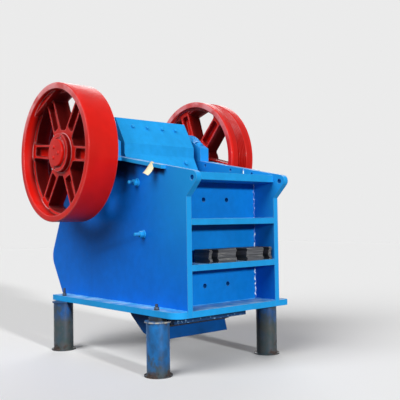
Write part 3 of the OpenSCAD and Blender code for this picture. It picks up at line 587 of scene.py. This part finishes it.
def soften(bm, width, segments=2, angle=38.0):
    """Rounds every edge that is sharper than the angle."""
    bmesh.ops.remove_doubles(bm, verts=bm.verts, dist=2e-5)
    sharp = [
        e for e in bm.edges
        if len(e.link_faces) == 2 and e.calc_face_angle(0.0) > math.radians(angle)
    ]
    bmesh.ops.bevel(
        bm, geom=sharp, offset=width, offset_type="OFFSET", segments=segments,
        profile=0.5, affect="EDGES", clamp_overlap=True, material=-1,
    )


def facing(point, direction, spin=0.0):
    """A matrix that stands a piece made along +z at a point, along a direction."""
    turn = Vector(direction).normalized().to_track_quat("Z", "Y").to_matrix().to_4x4()
    return Matrix.Translation(Vector(point)) @ turn @ Matrix.Rotation(spin, 4, "Z")


def rod(radius, depth, segments, matrix):
    """A closed rod round the z axis of a matrix, with its middle on the origin."""
    bm = bmesh.new()
    bmesh.ops.create_cone(
        bm, cap_ends=True, segments=segments, radius1=radius, radius2=radius, depth=depth, matrix=matrix,
    )
    return bm


def hexagon(radius, height):
    """A nut or bolt head with a turned chamfer, standing on z = 0."""
    bm = rod(radius, height, 6, Matrix.Translation((0, 0, height / 2)))
    top = [f for f in bm.faces if f.normal.z > 0.9]
    bmesh.ops.inset_region(bm, faces=top, thickness=radius * 0.12, depth=radius * 0.10)
    soften(bm, radius * 0.04, 1, 20)
    return bm


def washer(radius, thickness):
    """A flat washer with its hole covered, standing on z = 0."""
    bm = rod(radius, thickness, 32, Matrix.Translation((0, 0, thickness / 2)))
    soften(bm, thickness * 0.25, 1, 40)
    return bm


def threaded(radius, length, pitch):
    """A stud with ring threads and a chamfered end, from z = 0 up."""
    turns = max(2, int(length / pitch))
    top, chamfer = turns * pitch, radius * 0.2
    profile = [(0, 0)]
    for k in range(turns):
        profile += [(radius * 0.90, k * pitch), (radius, (k + 0.5) * pitch)]
    profile += [(radius * 0.90, top), (radius * 0.70, top + chamfer), (0, top + chamfer)]
    bm = bmesh.new()
    verts = [bm.verts.new((r, 0, z)) for r, z in profile]
    for a, b in zip(verts, verts[1:]):
        bm.edges.new((a, b))
    spin_round(bm, (0, 0, 1), 20)
    return bm


def bolt(bm, foot, out, spin, seat, head, end=None):
    """Stands a washer, a hexagon and, where given, a threaded end on a foot, along out.

    seat and head are a radius and a height, and end is a radius, a length and a pitch.
    """
    merge_into(bm, washer(*seat), facing(foot, out))
    merge_into(bm, hexagon(*head), facing(foot + out * seat[1], out, spin))
    if end:
        merge_into(bm, threaded(*end), facing(foot + out * (seat[1] + head[1]), out))


def bead(path, outs, radius, seed, pitch=0.011, lumps=0.16, sway=0.0):
    """A weld bead along a path of points; outs point off the corner. Its width, scales and line wander.

    It is a strip that faces outwards, and its two long borders lie inside the plates that it joins.
    """
    lengths = [0.0]
    for a, b in zip(path, path[1:]):
        lengths.append(lengths[-1] + (b - a).length)
    steps = max(4, int(lengths[-1] / 0.006))
    bm = bmesh.new()
    bmesh.ops.create_grid(bm, x_segments=steps, y_segments=6, size=0.5)
    for v in bm.verts:
        far, w = (v.co.x + 0.5) * lengths[-1], v.co.y + 0.5
        k = max(i for i in range(len(path) - 1) if lengths[i] <= far + 1e-9)
        share = (far - lengths[k]) / (lengths[k + 1] - lengths[k])
        along = (path[k + 1] - path[k]).normalized()
        out = outs[k].lerp(outs[k + 1], share).normalized()
        side = along.cross(out)
        wander = noise.noise(Vector((far * 22, seed, 0.3)))
        scale = abs(math.sin(far / pitch * math.pi + 1.2 * math.cos(w * math.pi)))
        r = radius * (1 + 0.22 * wander + lumps * scale)
        angle = math.pi * (w - 0.5) * 1.15
        weave = sway * math.sin(far / pitch * math.pi)
        v.co = (path[k].lerp(path[k + 1], share) + side * (r * math.sin(angle) + weave)
                + out * (r * math.cos(angle) - radius * 0.45))
    bmesh.ops.reverse_faces(bm, faces=bm.faces)
    return bm


def straight(start, end, out):
    """The path and outs of a straight bead."""
    return [start, end], [Vector(out), Vector(out)]


def ring(centre, radius, lift):
    """The path and outs of a bead round an upright pipe; lift is +1 above the corner and -1 below it."""
    turns = [math.tau * k / 40 for k in range(41)]
    path = [centre + Vector((math.cos(t), math.sin(t), 0)) * radius for t in turns]
    return path, [Vector((math.cos(t), math.sin(t), lift)) for t in turns]


# Sizes and colours that a user may change

class CrusherPaints(bpy.types.PropertyGroup):
    """Colours of the finishes."""

    blue: bpy.props.FloatVectorProperty(
        name="Blue", description="Enamel of the side plates and castings", subtype="COLOR",
        default=(0.004, 0.150, 0.660), min=0, max=1)
    light_blue: bpy.props.FloatVectorProperty(
        name="Light blue", description="Enamel of the ribs, flanges, ledges and guard", subtype="COLOR",
        default=(0.016, 0.318, 0.735), min=0, max=1)
    red: bpy.props.FloatVectorProperty(
        name="Red", description="Enamel of the two wheels", subtype="COLOR",
        default=(0.625, 0.009, 0.005), min=0, max=1)
    steel: bpy.props.FloatVectorProperty(
        name="Steel", description="Rolled and machined steel", subtype="COLOR",
        default=(0.30, 0.29, 0.28), min=0, max=1)


class CrusherWheels(bpy.types.PropertyGroup):
    """Sizes of the flywheel and the sheave."""

    radius: bpy.props.FloatProperty(
        name="Radius", description="Radius over the rim", default=0.734, unit="LENGTH")
    rim_thickness: bpy.props.FloatProperty(
        name="Rim thickness", description="Radial thickness of the rim", default=0.066, unit="LENGTH")
    rim_in: bpy.props.FloatProperty(
        name="Rim, inner side", description="Distance of the rim's inner side from the middle",
        default=0.780, unit="LENGTH")
    rim_out: bpy.props.FloatProperty(
        name="Rim, outer side", description="Distance of the rim's outer side from the middle",
        default=1.130, unit="LENGTH")
    hub_radius: bpy.props.FloatProperty(
        name="Hub radius", description="Radius of the hub", default=0.245, unit="LENGTH")
    spokes: bpy.props.IntProperty(name="Spokes", description="Number of spokes", default=6, min=4, max=8)
    turn: bpy.props.FloatProperty(
        name="Turn", description="Angle by which the flywheel's spokes stand turned at rest",
        default=math.radians(6.5), unit="ROTATION")
    sheave_turn: bpy.props.FloatProperty(
        name="Sheave turn", description="Angle by which the sheave's spokes stand turned at rest",
        default=math.radians(13.5), unit="ROTATION")
    rim_round: bpy.props.FloatProperty(
        name="Rim rounding", description="Radius of the rim's rounded corners", default=0.011, unit="LENGTH")


class CrusherWelds(bpy.types.PropertyGroup):
    """Sizes of the weld beads."""

    heavy: bpy.props.FloatProperty(
        name="Heavy bead", description="Radius of the beads between the main plates", default=0.011, unit="LENGTH")
    light: bpy.props.FloatProperty(
        name="Light bead", description="Radius of the beads on ribs and legs", default=0.007, unit="LENGTH")


class CrusherTagSize(bpy.types.PropertyGroup):
    """Sizes of the paper tag."""

    length: bpy.props.FloatProperty(name="Length", description="Length of the tag", default=0.140, unit="LENGTH")
    width: bpy.props.FloatProperty(name="Width", description="Width of the tag", default=0.066, unit="LENGTH")
    curl: bpy.props.FloatProperty(
        name="Curl", description="How far the tag stands off at its middle", default=0.020, unit="LENGTH")


class CrusherStage(bpy.types.PropertyGroup):
    """The studio that the crusher stands in."""

    floor: bpy.props.FloatProperty(
        name="Floor size", description="Length of the floor's side", default=60.0, unit="LENGTH")
    front: bpy.props.FloatProperty(
        name="Front light", description="Strength of the light from the front", default=2.93)
    left: bpy.props.FloatProperty(
        name="Left light", description="Strength of the light from the left", default=2.72)
    back: bpy.props.FloatProperty(
        name="Back light", description="Strength of the light from behind", default=1.10)
    ambient: bpy.props.FloatProperty(
        name="Ambient light", description="Strength of the light from all round", default=0.065)
    paleness: bpy.props.FloatProperty(
        name="Paleness", description="Colour of the floor, from black to white", default=0.86, min=0, max=1)
    lens: bpy.props.FloatProperty(
        name="Lens", description="Focal length of the camera in millimetres", default=58.02)


GROUPS = {
    "crusher_paints": CrusherPaints, "crusher_wheels": CrusherWheels,
    "crusher_welds": CrusherWelds, "crusher_tag_size": CrusherTagSize, "crusher_stage": CrusherStage,
}
MADE = {}


def sizes(name):
    return getattr(bpy.context.scene, name)


# The finish of each material slot, and of the nodes that have one of their own
SLOT_FINISH = {
    "blue_paint": "plate", "light_blue_paint": "fitted", "leg_paint": "leg", "red_paint": "wheel",
    "bare_steel": "rolled", "wear_steel": "manganese",
}
OWN_FINISH = {
    "side_plate_left": "side", "side_plate_right": "far_side", "front_wall": "wall", "moving_jaw": "jaw",
    "bearing_housing_left": "housing", "bearing_housing_right": "housing", "fixed_jaw_plate": "sprayed",
    "leg_front_right": "far_leg", "leg_rear_left": "far_leg", "leg_rear_right": "far_leg", "leg_bolts": "stud",
    "jaw_plate_wedge": "casting", "toggle_block": "casting", "shim_stack": "sheared", "main_shaft": "turned",
    "jaw_bearings": "turned", "tension_rods": "rusty", "tension_springs": "rusty",
}


# Operators

class CrusherPaintFrame(bpy.types.Operator):
    """Make the finishes and give each packed node its own"""

    bl_idname = "crusher.paint_frame"
    bl_label = "Paint the frame"

    def execute(self, context):
        paints = sizes("crusher_paints")
        blue, light, red, steel = (tuple(c) for c in (paints.blue, paints.light_blue, paints.red, paints.steel))
        # Colours for the paler edges, partly wear and partly painted highlight; edge is the palest, for the side
        # plates.
        rubbed, rubbed_cast, edge = (0.10, 0.36, 0.72), (0.10, 0.34, 0.70), (0.30, 0.62, 0.90)
        dust = (0.20, 0.30, 0.38)
        mixed = tuple(a * 0.3 + b * 0.7 for a, b in zip(blue, light))
        MADE.update(
            plate=enamel("plate_enamel", blue, rubbed),
            # Both side plates get painted light on their front faces and front parts; the near one also gets painted
            # shadow under its ledge.
            side=enamel("near_plate_enamel", blue, edge, dusty=0.75, edge_r=0.006, ahead=light, shadow_under_ledge=True),
            far_side=enamel("far_plate_enamel", blue, edge, dusty=0.75, edge_r=0.006, ahead=light, fade=2.2),
            fitted=enamel("fitted_enamel", light, (0.24, 0.58, 0.84), dusty=0.80),
            small=enamel("fastener_enamel", light, (0.24, 0.55, 0.82), dusty=0.35, edge_r=0.0012),
            wall=enamel("wall_enamel", (blue[0] * 0.9, blue[1] * 1.18, blue[2] * 0.86), rubbed, dusty=0.5),
            casting=cast_enamel("casting_enamel", blue, rubbed_cast, 0.34, dust),
            # The jaw is painted darker below the frame, as painted shade.
            jaw=cast_enamel("jaw_enamel", blue, rubbed_cast, 0.34, dust,
                            shade_below_frame=(0.004, 0.034, 0.110), shine=0.03, sprayed=light),
            housing=cast_enamel("housing_enamel", mixed, (0.18, 0.50, 0.80), 0.34, (0.30, 0.52, 0.66)),
            # The wheels' pale pink marks edges and upper rim as painted highlight; the dark red is painted shade deep
            # inside them.
            wheel=cast_enamel("wheel_enamel", red, (0.94, 0.44, 0.46), edge_r=0.009, deep_shade=(0.075, 0.004, 0.004)),
            cap=cast_enamel("cap_enamel", red, (0.84, 0.34, 0.34), edge_r=0.002),
            # pale_cap also sets the painted shadow on the packing disc.
            leg=worn_leg("leg_worn", pale_cap=0.85),
            far_leg=worn_leg("leg_dull", (0.012, 0.090, 0.300), (0.012, 0.040, 0.100), soiled=(0.30, 0.44)),
            rolled=bare_steel("rolled_steel", steel),
            rusty=bare_steel("rusty_steel", steel, 0.85, 0.5),
            turned=bare_steel("turned_steel", (0.42, 0.42, 0.43), 0.05, 0.30, (1.0, 14.0, 1.0)),
            sheared=sheared_stack("sheared_steel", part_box("shim_stack")[0].z, 0.013),
            manganese=cast_manganese("cast_manganese"),
            sprayed=cast_manganese("sprayed_manganese", (0.004, 0.040, 0.130)),
            weld=highlighted_weld("highlighted_weld"),
            stud=bare_steel("stud_steel", (0.060, 0.085, 0.130), 0.05, 0.5),
            card=tag_card("tag_card"),
        )
        for part in frame["record"]["subparts"]:
            finish = MADE[OWN_FINISH.get(part["node"], SLOT_FINISH[part["material_slot"]])]
            for slot in NODES[part["node"]].material_slots:
                slot.material = finish
        return {"FINISHED"}


# Sizes that both wheels share, in metres. Depths count inwards from the rim's outer side.
SPOKE_BACK, SPOKE_FACE, HUB_FACE = 0.305, 0.115, 0.065
RIM_RIB = 0.026  # how far the rib stands in from the rim
HUB_BORE, CAP_RADIUS, CAP_THICK = 0.125, 0.145, 0.030


def wheel_rim(w, grooved):
    """The spun rim with the rib inside it that the spokes run into."""
    r, inner = w.radius, w.radius - w.rim_thickness
    rib, low, high = inner - RIM_RIB, w.rim_out - SPOKE_BACK, w.rim_out - SPOKE_FACE
    profile = [
        (inner, w.rim_in, 0.008), (inner, low + 0.007, 0.006), (rib, low + 0.014, 0.005),
        (rib, high - 0.014, 0.005), (inner, high - 0.007, 0.006), (inner, w.rim_out, 0.008),
        (r, w.rim_out, w.rim_round),
    ]
    if grooved:
        count, pitch, mouth, floor = 5, 0.026, 0.010, 0.0045
        middle, half = (w.rim_in + w.rim_out) / 2, count * pitch / 2
        band = r - 0.006
        foot = band - 0.020
        profile += [(r, middle + half + 0.006, 0.002), (band, middle + half, 0.002)]
        for k in range(count):
            y = middle + (count - 1 - 2 * k) / 2 * pitch
            profile += [(band, y + mouth, 0.0015), (foot, y + floor, 0.0015),
                        (foot, y - floor, 0.0015), (band, y - mouth, 0.0015)]
        profile += [(band, middle - half, 0.002), (r, middle - half - 0.006, 0.002)]
    profile.append((r, w.rim_in, w.rim_round))
    return turned(profile, 144)


def spoke_outline(w):
    """Half of a spoke's outline, from the hub to the rim, with its two cast fillets."""
    hub, tip = w.hub_radius - 0.006, w.radius - w.rim_thickness - RIM_RIB + 0.006
    half_hub, half_tip, root, end = 0.081, 0.075, 0.045, 0.034
    cu = math.sqrt((hub + root) ** 2 - (half_hub + root) ** 2)
    eu = math.sqrt((tip - end) ** 2 - (half_tip + end) ** 2)
    a0 = math.atan2(half_hub + root, cu) + math.pi
    a1 = math.atan2(half_tip + end, eu)
    half = []
    for k in range(9):
        a = a0 + (1.5 * math.pi - a0) * k / 8
        half.append((cu + root * math.cos(a), half_hub + root + root * math.sin(a)))
    for k in range(9):
        a = -0.5 * math.pi + (a1 + 0.5 * math.pi) * k / 8
        half.append((eu + end * math.cos(a), half_tip + end + end * math.sin(a)))
    return [(w.hub_radius - 0.06, 0.04)] + half + [(w.radius - w.rim_thickness + 0.012, 0.04)]


def wheel_spider(w):
    """Hub, spokes and balance weight, fused into one casting."""
    back, face = w.rim_out - SPOKE_BACK, w.rim_out - SPOKE_FACE
    half = spoke_outline(w)
    outline = half + [(u, -v) for u, v in reversed(half)]
    pocket = [(0.285, 0.055, 0.022), (0.602, 0.049, 0.022), (0.602, -0.049, 0.022), (0.285, -0.055, 0.022)]
    spoke = carve(slab(outline, back, face), [
        slab(pocket, back - 0.01, back + 0.065), slab(pocket, face - 0.065, face + 0.01),
    ])
    spider = bmesh.new()
    for k in range(w.spokes):
        turn = Matrix.Rotation(w.turn - math.tau * k / w.spokes, 4, "Y")
        merge_into(spider, spoke.copy(), turn)
    spoke.free()
    inner, hub_back = w.radius - w.rim_thickness, w.rim_in - 0.019
    merge_into(spider, turned([
        (HUB_BORE, hub_back), (w.hub_radius, hub_back), (w.hub_radius, face), (HUB_BORE, face),
    ], 96))
    merge_into(spider, turned([
        (inner - RIM_RIB, back + 0.014), (inner + 0.02, back + 0.014), (inner + 0.02, face - 0.014),
        (inner - RIM_RIB, face - 0.014),
    ], 144))
    chord, arc = 0.612, inner + 0.01  # the balance weight's flat side, and its round one inside the rim
    reach = math.acos(chord / arc)
    weight = [(chord, chord * math.tan(reach))]
    weight += [(arc * math.cos(t), arc * math.sin(t)) for t in (reach * (1 - k / 12) for k in range(1, 24))]
    weight.append((chord, -chord * math.tan(reach)))
    turn = Matrix.Rotation(w.turn - math.radians(120), 4, "Y")
    merge_into(spider, slab(weight, back + 0.02, w.rim_out - 0.05), turn)
    grain, passes, keep = ((0.006, 5, 0.30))
    return cast(spider, grain, passes, keep)


def hub_ring(w):
    """The machined ring round the cap, with its groove and the two puller holes."""
    out = w.rim_out - HUB_FACE
    ring_foot, groove = out - 0.08, out - 0.016
    profile = [
        (HUB_BORE, ring_foot), (0.212, ring_foot), (0.207, out - 0.05, 0.012), (0.203, out, 0.005),
        (0.160, out, 0.003), (0.157, groove, 0.002), (0.147, groove, 0.002), (0.147, out), (HUB_BORE, out),
    ]
    holes = []
    for turn in (69, 249):
        place = Matrix.Rotation(-math.radians(turn), 4, "Y") @ facing((0.175, out, 0), (0, 1, 0))
        holes.append(rod(0.012, 0.09, 24, place))
    return carve(turned(profile, 96), holes)


class CrusherWheelPair(bpy.types.Operator):
    """Cast the flywheel and the grooved sheave"""

    bl_idname = "crusher.wheels"
    bl_label = "Wheels"

    def execute(self, context):
        w = sizes("crusher_wheels")
        spider, hub = wheel_spider(w), hub_ring(w)
        for side, node, grooved, extra in (
            (-1, "flywheel", False, 0.0), (1, "sheave", True, w.sheave_turn - w.turn),
        ):
            wheel = wheel_rim(w, grooved)
            merge_into(wheel, spider.copy(), Matrix.Rotation(extra, 4, "Y"))
            merge_into(wheel, hub.copy())
            wheel.transform(Matrix.Translation(SHAFT) @ Matrix.Diagonal((1, side, 1, 1)))
            new_piece(wheel, node + "_casting", "rotor", MADE["wheel"], [node], 40)
        spider.free()
        hub.free()
        return {"FINISHED"}


class CrusherCaps(bpy.types.Operator):
    """Bolt the discs over the ends of the shaft"""

    bl_idname = "crusher.caps"
    bl_label = "Shaft caps"

    def execute(self, context):
        w = sizes("crusher_wheels")
        out = w.rim_out - HUB_FACE
        top, along = out + CAP_THICK, (0, 1, 0)
        caps = bmesh.new()
        for side in (-1, 1):
            cap = turned([(0, out), (CAP_RADIUS, out), (CAP_RADIUS, top, 0.006), (0, top)], 72)
            for k in range(3):
                foot = Matrix.Rotation(w.turn + math.tau * k / 3, 4, "Y") @ Vector((0.064, top, 0))
                merge_into(cap, washer(0.021, 0.003), facing(foot, along))
                merge_into(cap, hexagon(0.017, 0.009), facing(foot, along, k))
            cap.transform(Matrix.Translation(SHAFT) @ Matrix.Diagonal((1, side, 1, 1)))
            merge_into(caps, cap)
        new_piece(caps, "shaft_caps_bolted", "rotor", MADE["cap"], ["shaft_caps"])
        return {"FINISHED"}


class CrusherFasteners(bpy.types.Operator):
    """Make the bolts, studs and nuts of the housings, cheek plates, guard and legs"""

    bl_idname = "crusher.fasteners"
    bl_label = "Bolts, studs and nuts"

    def execute(self, context):
        up = Vector((0, 0, 1))
        seats = bmesh.new()
        for side in (-1, 1):
            for x in (-0.340, 0.340):
                foot = machine(SHAFT.x - FRONT + x, side * 0.623, 1.7808)
                bolt(seats, foot, up, x + side, (0.047, 0.006), (0.0416, 0.024), (0.026, 0.022, 0.004))
        new_piece(seats, "housing_bolts_threaded", "frame", MADE["small"], ["housing_bolts"])
        studs = bmesh.new()
        shank, depth = 0.0177, 0.105
        for side in (-1, 1):
            for x, z in ((-0.670, 0.766), (-0.765, 1.285)):
                foot, out = machine(x, side * PLATE_OUT, z), Vector((0, side, 0))
                merge_into(studs, rod(shank, depth, 32, facing(foot - out * (depth / 2), out)))
                bolt(studs, foot, out, x * 9, (0.042, 0.012), (0.034, 0.038), (shank, 0.062, 0.004))
        new_piece(studs, "cheek_studs_threaded", "frame", MADE["small"], ["cheek_bolts"])
        guard = bmesh.new()
        lean = math.radians(60)
        out = Vector((math.sin(lean), 0, math.cos(lean)))
        for y in (-0.300, -0.105, 0.105, 0.300):
            bolt(guard, machine(-1.2935, y, 1.938), out, y * 7, (0.026, 0.004), (0.021, 0.017))
        low, out = machine(-1.1404, 0.327, 1.546), Vector((0.889, 0, 0.457))
        bolt(guard, low, out, 0.4, (0.034, 0.005), (0.027, 0.022))
        new_piece(guard, "guard_bolts_chamfered", "jaw", MADE["small"], ["guard_bolts"])
        legs = bmesh.new()
        for side in (-1, 1):
            for x, length in ((-0.320, 0.032), (-2.065, 0.062)):
                foot = machine(x, side * 0.729, FLANGE_TOP)
                merge_into(legs, hexagon(0.026, 0.026), facing(foot, up, x + side))
                merge_into(legs, threaded(0.015, length, 0.003), facing(foot + up * 0.025, up))
        new_piece(legs, "leg_studs_threaded", "frame", MADE["stud"], ["leg_bolts"])
        return {"FINISHED"}


class CrusherWeldBeads(bpy.types.Operator):
    """Lay the weld beads of the frame and the legs"""

    bl_idname = "crusher.weld_beads"
    bl_label = "Weld beads"

    def execute(self, context):
        w = sizes("crusher_welds")
        corners = [(z, 1) for z in (*RIB_TOPS, TOP_RIB)] + [(z, -1) for z in RIB_FEET]
        rows = []
        for side in (-1, 1):
            out, inside = side * PLATE_OUT, side * PLATE_IN
            rows.append((machine(-2.26, out, FLANGE_TOP), machine(-0.005, out, FLANGE_TOP), (0, side, 1), w.heavy))
            start, end = (machine(-back, out, ledge_top(back) - LEDGE) for back in (0.306, 1.140))
            rows.append((start, end, (0, side, -1), w.light))
            for z, lift in corners:
                rows.append((machine(-0.280, inside, z), machine(-0.003, inside, z), (0, -side, lift), w.heavy))
        for z, lift in corners:
            if z != TOP_RIB:
                rows.append((machine(-0.284, -0.545, z), machine(-0.284, 0.545, z), (1, 0, lift), w.light))
        beads = bmesh.new()
        seed = 0.0
        for start, end, out, radius in rows:
            seed += 1.7
            merge_into(beads, bead(*straight(start, end, out), radius, seed))
        new_piece(beads, "frame_weld_beads", "frame", MADE["fitted"], smooth=60, closed=False)
        bare = bmesh.new()
        for side in (-1, 1):
            for low, high in zip(RIB_TOPS, RIB_FEET):
                seed += 1.7
                start, end = (machine(-0.282, side * 0.553, z) for z in (low + 0.006, high - 0.006))
                merge_into(bare, bead(*straight(start, end, (1, -side, 0)), w.light, seed, 0.038, 0.60, 0.005))
        start, end = (machine(-0.435, 0.553, ledge_top(0.435) - down) for down in (0.004, 0.066))
        merge_into(bare, bead(*straight(start, end, (0, -1, 0)), w.light, seed))
        new_piece(bare, "corner_weld_beads", "frame", MADE["weld"], smooth=60, closed=False)
        pipes = bmesh.new()
        for side in (-1, 1):
            for x in PIPE_X:
                seed += 1.7
                centre = machine(x, side * PIPE_Y, 0)
                centre.z = PIPE_FOOT
                merge_into(pipes, bead(*ring(centre, PIPE, 1), w.light, seed))
                packed = side < 0 and x == PIPE_X[0]
                centre.z = BASE - (PIPE_CAP + (PACKING if packed else 0))
                merge_into(pipes, bead(*ring(centre, PIPE, -1), w.light, seed + 0.4))
        new_piece(pipes, "leg_weld_beads", "frame", MADE["leg"], smooth=60, closed=False)
        return {"FINISHED"}


class CrusherTag(bpy.types.Operator):
    """Hang the curled paper tag from the left ledge"""

    bl_idname = "crusher.tag"
    bl_label = "Paper tag"

    def execute(self, context):
        s = sizes("crusher_tag_size")
        tag = bmesh.new()
        bmesh.ops.create_grid(tag, x_segments=28, y_segments=12, size=0.5)
        root, down = machine(-0.435, -0.672, 1.468), Vector((-0.20, -0.59, -0.79)).normalized()
        across = Vector((0.90, 0.42, 0.10))
        across = (across - down * across.dot(down)).normalized()
        off = across.cross(down)
        for v in tag.verts:
            u, w = v.co.x + 0.5, v.co.y
            width = s.width * min(1.0, 0.55 + 1.6 * u) * (1.0 - 0.25 * u * u)
            roll = w * (1.0 + 0.8 * u)
            lift = s.curl * math.sin(u * 2.6) + width * 0.8 * (1 - math.cos(roll))
            v.co = root + down * (u * s.length) + across * (width * math.sin(roll)) + off * lift
        bmesh.ops.solidify(tag, geom=tag.faces[:], thickness=0.0012)
        new_piece(tag, "paper_tag", "frame", MADE["card"], smooth=60)
        return {"FINISHED"}


class CrusherStudio(bpy.types.Operator):
    """Set the floor, lights and camera"""

    bl_idname = "crusher.studio"
    bl_label = "Studio"

    def shown(self, nodes):
        """1 on rays that show the backdrop: those from the camera, mirrored or through glass."""
        ray = nodes.node("ShaderNodeLightPath")
        return (ray.out("Is Camera Ray") + ray.out("Is Glossy Ray") + ray.out("Is Transmission Ray")).clamped()

    def execute(self, context):
        s = sizes("crusher_stage")
        scene = context.scene
        scene.view_settings.view_transform = "Standard"
        sheet = bmesh.new()
        bmesh.ops.create_grid(sheet, x_segments=2, y_segments=2, size=s.floor / 2)
        floor = to_object(sheet, "studio_floor")
        paint = Paint("studio_floor", 1.0, Specular_IOR_Level=0.0)
        paint.set("Base Color", paint.mix(self.shown(paint), (0.08, 0.08, 0.08), (s.paleness,) * 3))
        floor.data.materials.append(paint.material)
        # Name, direction towards the lamp, strength, and how wide it shines from in degrees
        lamps = (
            ("sun_front", Vector((0.97, -0.10, 0.22)).normalized(), s.front, 5),
            ("sun_left", Vector((0.06, -0.76, 0.64)).normalized(), s.left, 48),
            ("sun_back", Vector((-0.62, 0.68, 0.40)).normalized(), s.back, 40),
        )
        on_floor = s.ambient + sum(power * toward.z for _, toward, power, _ in lamps) / math.pi
        world = bpy.data.worlds.new("studio_sky")
        scene.world = world
        world.use_nodes = True
        world.node_tree.nodes.clear()
        sky = Nodes(world.node_tree)
        lamp = sky.node("ShaderNodeBackground", None, {"Color": (1.0, 1.0, 1.0), "Strength": s.ambient})
        pale = sky.node("ShaderNodeBackground", None, {"Color": (s.paleness * on_floor,) * 3, "Strength": 1.0})
        both = sky.node("ShaderNodeMixShader", None, {
            "Fac": self.shown(sky), 1: lamp.out("Background"), 2: pale.out("Background")})
        sky.node("ShaderNodeOutputWorld", None, {"Surface": both.out("Shader")})
        for name, toward, power, spread in lamps:
            light = bpy.data.lights.new(name, "SUN")
            light.energy = power
            light.angle = math.radians(spread)
            lamp = bpy.data.objects.new(name, light)
            lamp.rotation_euler = toward.to_track_quat("Z", "Y").to_euler()
            scene.collection.objects.link(lamp)
        lens = bpy.data.cameras.new("photo_camera")
        lens.lens = s.lens
        lens.sensor_width = 36
        lens.sensor_fit = "HORIZONTAL"
        lens.clip_end = 100
        camera = bpy.data.objects.new("photo_camera", lens)
        turn, pitch, roll = math.radians(40.8225), 0.0336, -0.014826  # solved from the frame's edges
        ahead = Vector((-math.cos(turn) * math.cos(pitch), math.sin(turn) * math.cos(pitch), math.sin(pitch)))
        level = Vector((math.sin(turn), math.cos(turn), 0))
        above = level.cross(ahead)
        right = level * math.cos(roll) + above * math.sin(roll)
        up = above * math.cos(roll) - level * math.sin(roll)
        camera.matrix_world = Matrix((right, up, -ahead)).transposed().to_4x4()
        camera.location = machine(4.546, -4.376, 0.8818)
        scene.collection.objects.link(camera)
        scene.camera = camera
        return {"FINISHED"}


class CrusherPanel(bpy.types.Panel):
    """Lists the crusher's pieces and their sizes"""

    bl_label = "Jaw crusher"
    bl_idname = "CRUSHER_PT_pieces"
    bl_space_type = "VIEW_3D"
    bl_region_type = "UI"
    bl_category = "Crusher"

    def draw(self, context):
        for operator in OPERATORS:
            self.layout.operator(operator.bl_idname)
        for name, group in GROUPS.items():
            box = self.layout.box()
            box.label(text=group.__doc__)
            for prop in group.__annotations__:
                box.prop(getattr(context.scene, name), prop)


OPERATORS = (
    CrusherStudio, CrusherPaintFrame, CrusherWheelPair, CrusherCaps, CrusherFasteners, CrusherWeldBeads,
    CrusherTag,
)


def register():
    for group in GROUPS.values():
        bpy.utils.register_class(group)
    for name, group in GROUPS.items():
        setattr(bpy.types.Scene, name, bpy.props.PointerProperty(type=group))
    for cls in (*OPERATORS, CrusherPanel):
        bpy.utils.register_class(cls)


def unregister():
    for cls in (CrusherPanel, *reversed(OPERATORS)):
        bpy.utils.unregister_class(cls)
    for name in GROUPS:
        delattr(bpy.types.Scene, name)
    for group in GROUPS.values():
        bpy.utils.unregister_class(group)


def main():
    register()
    bpy.ops.crusher.studio()
    bpy.ops.crusher.paint_frame()
    bpy.ops.crusher.wheels()
    bpy.ops.crusher.caps()
    bpy.ops.crusher.fasteners()
    bpy.ops.crusher.weld_beads()
    bpy.ops.crusher.tag()


if __name__ == "__main__":
    main()
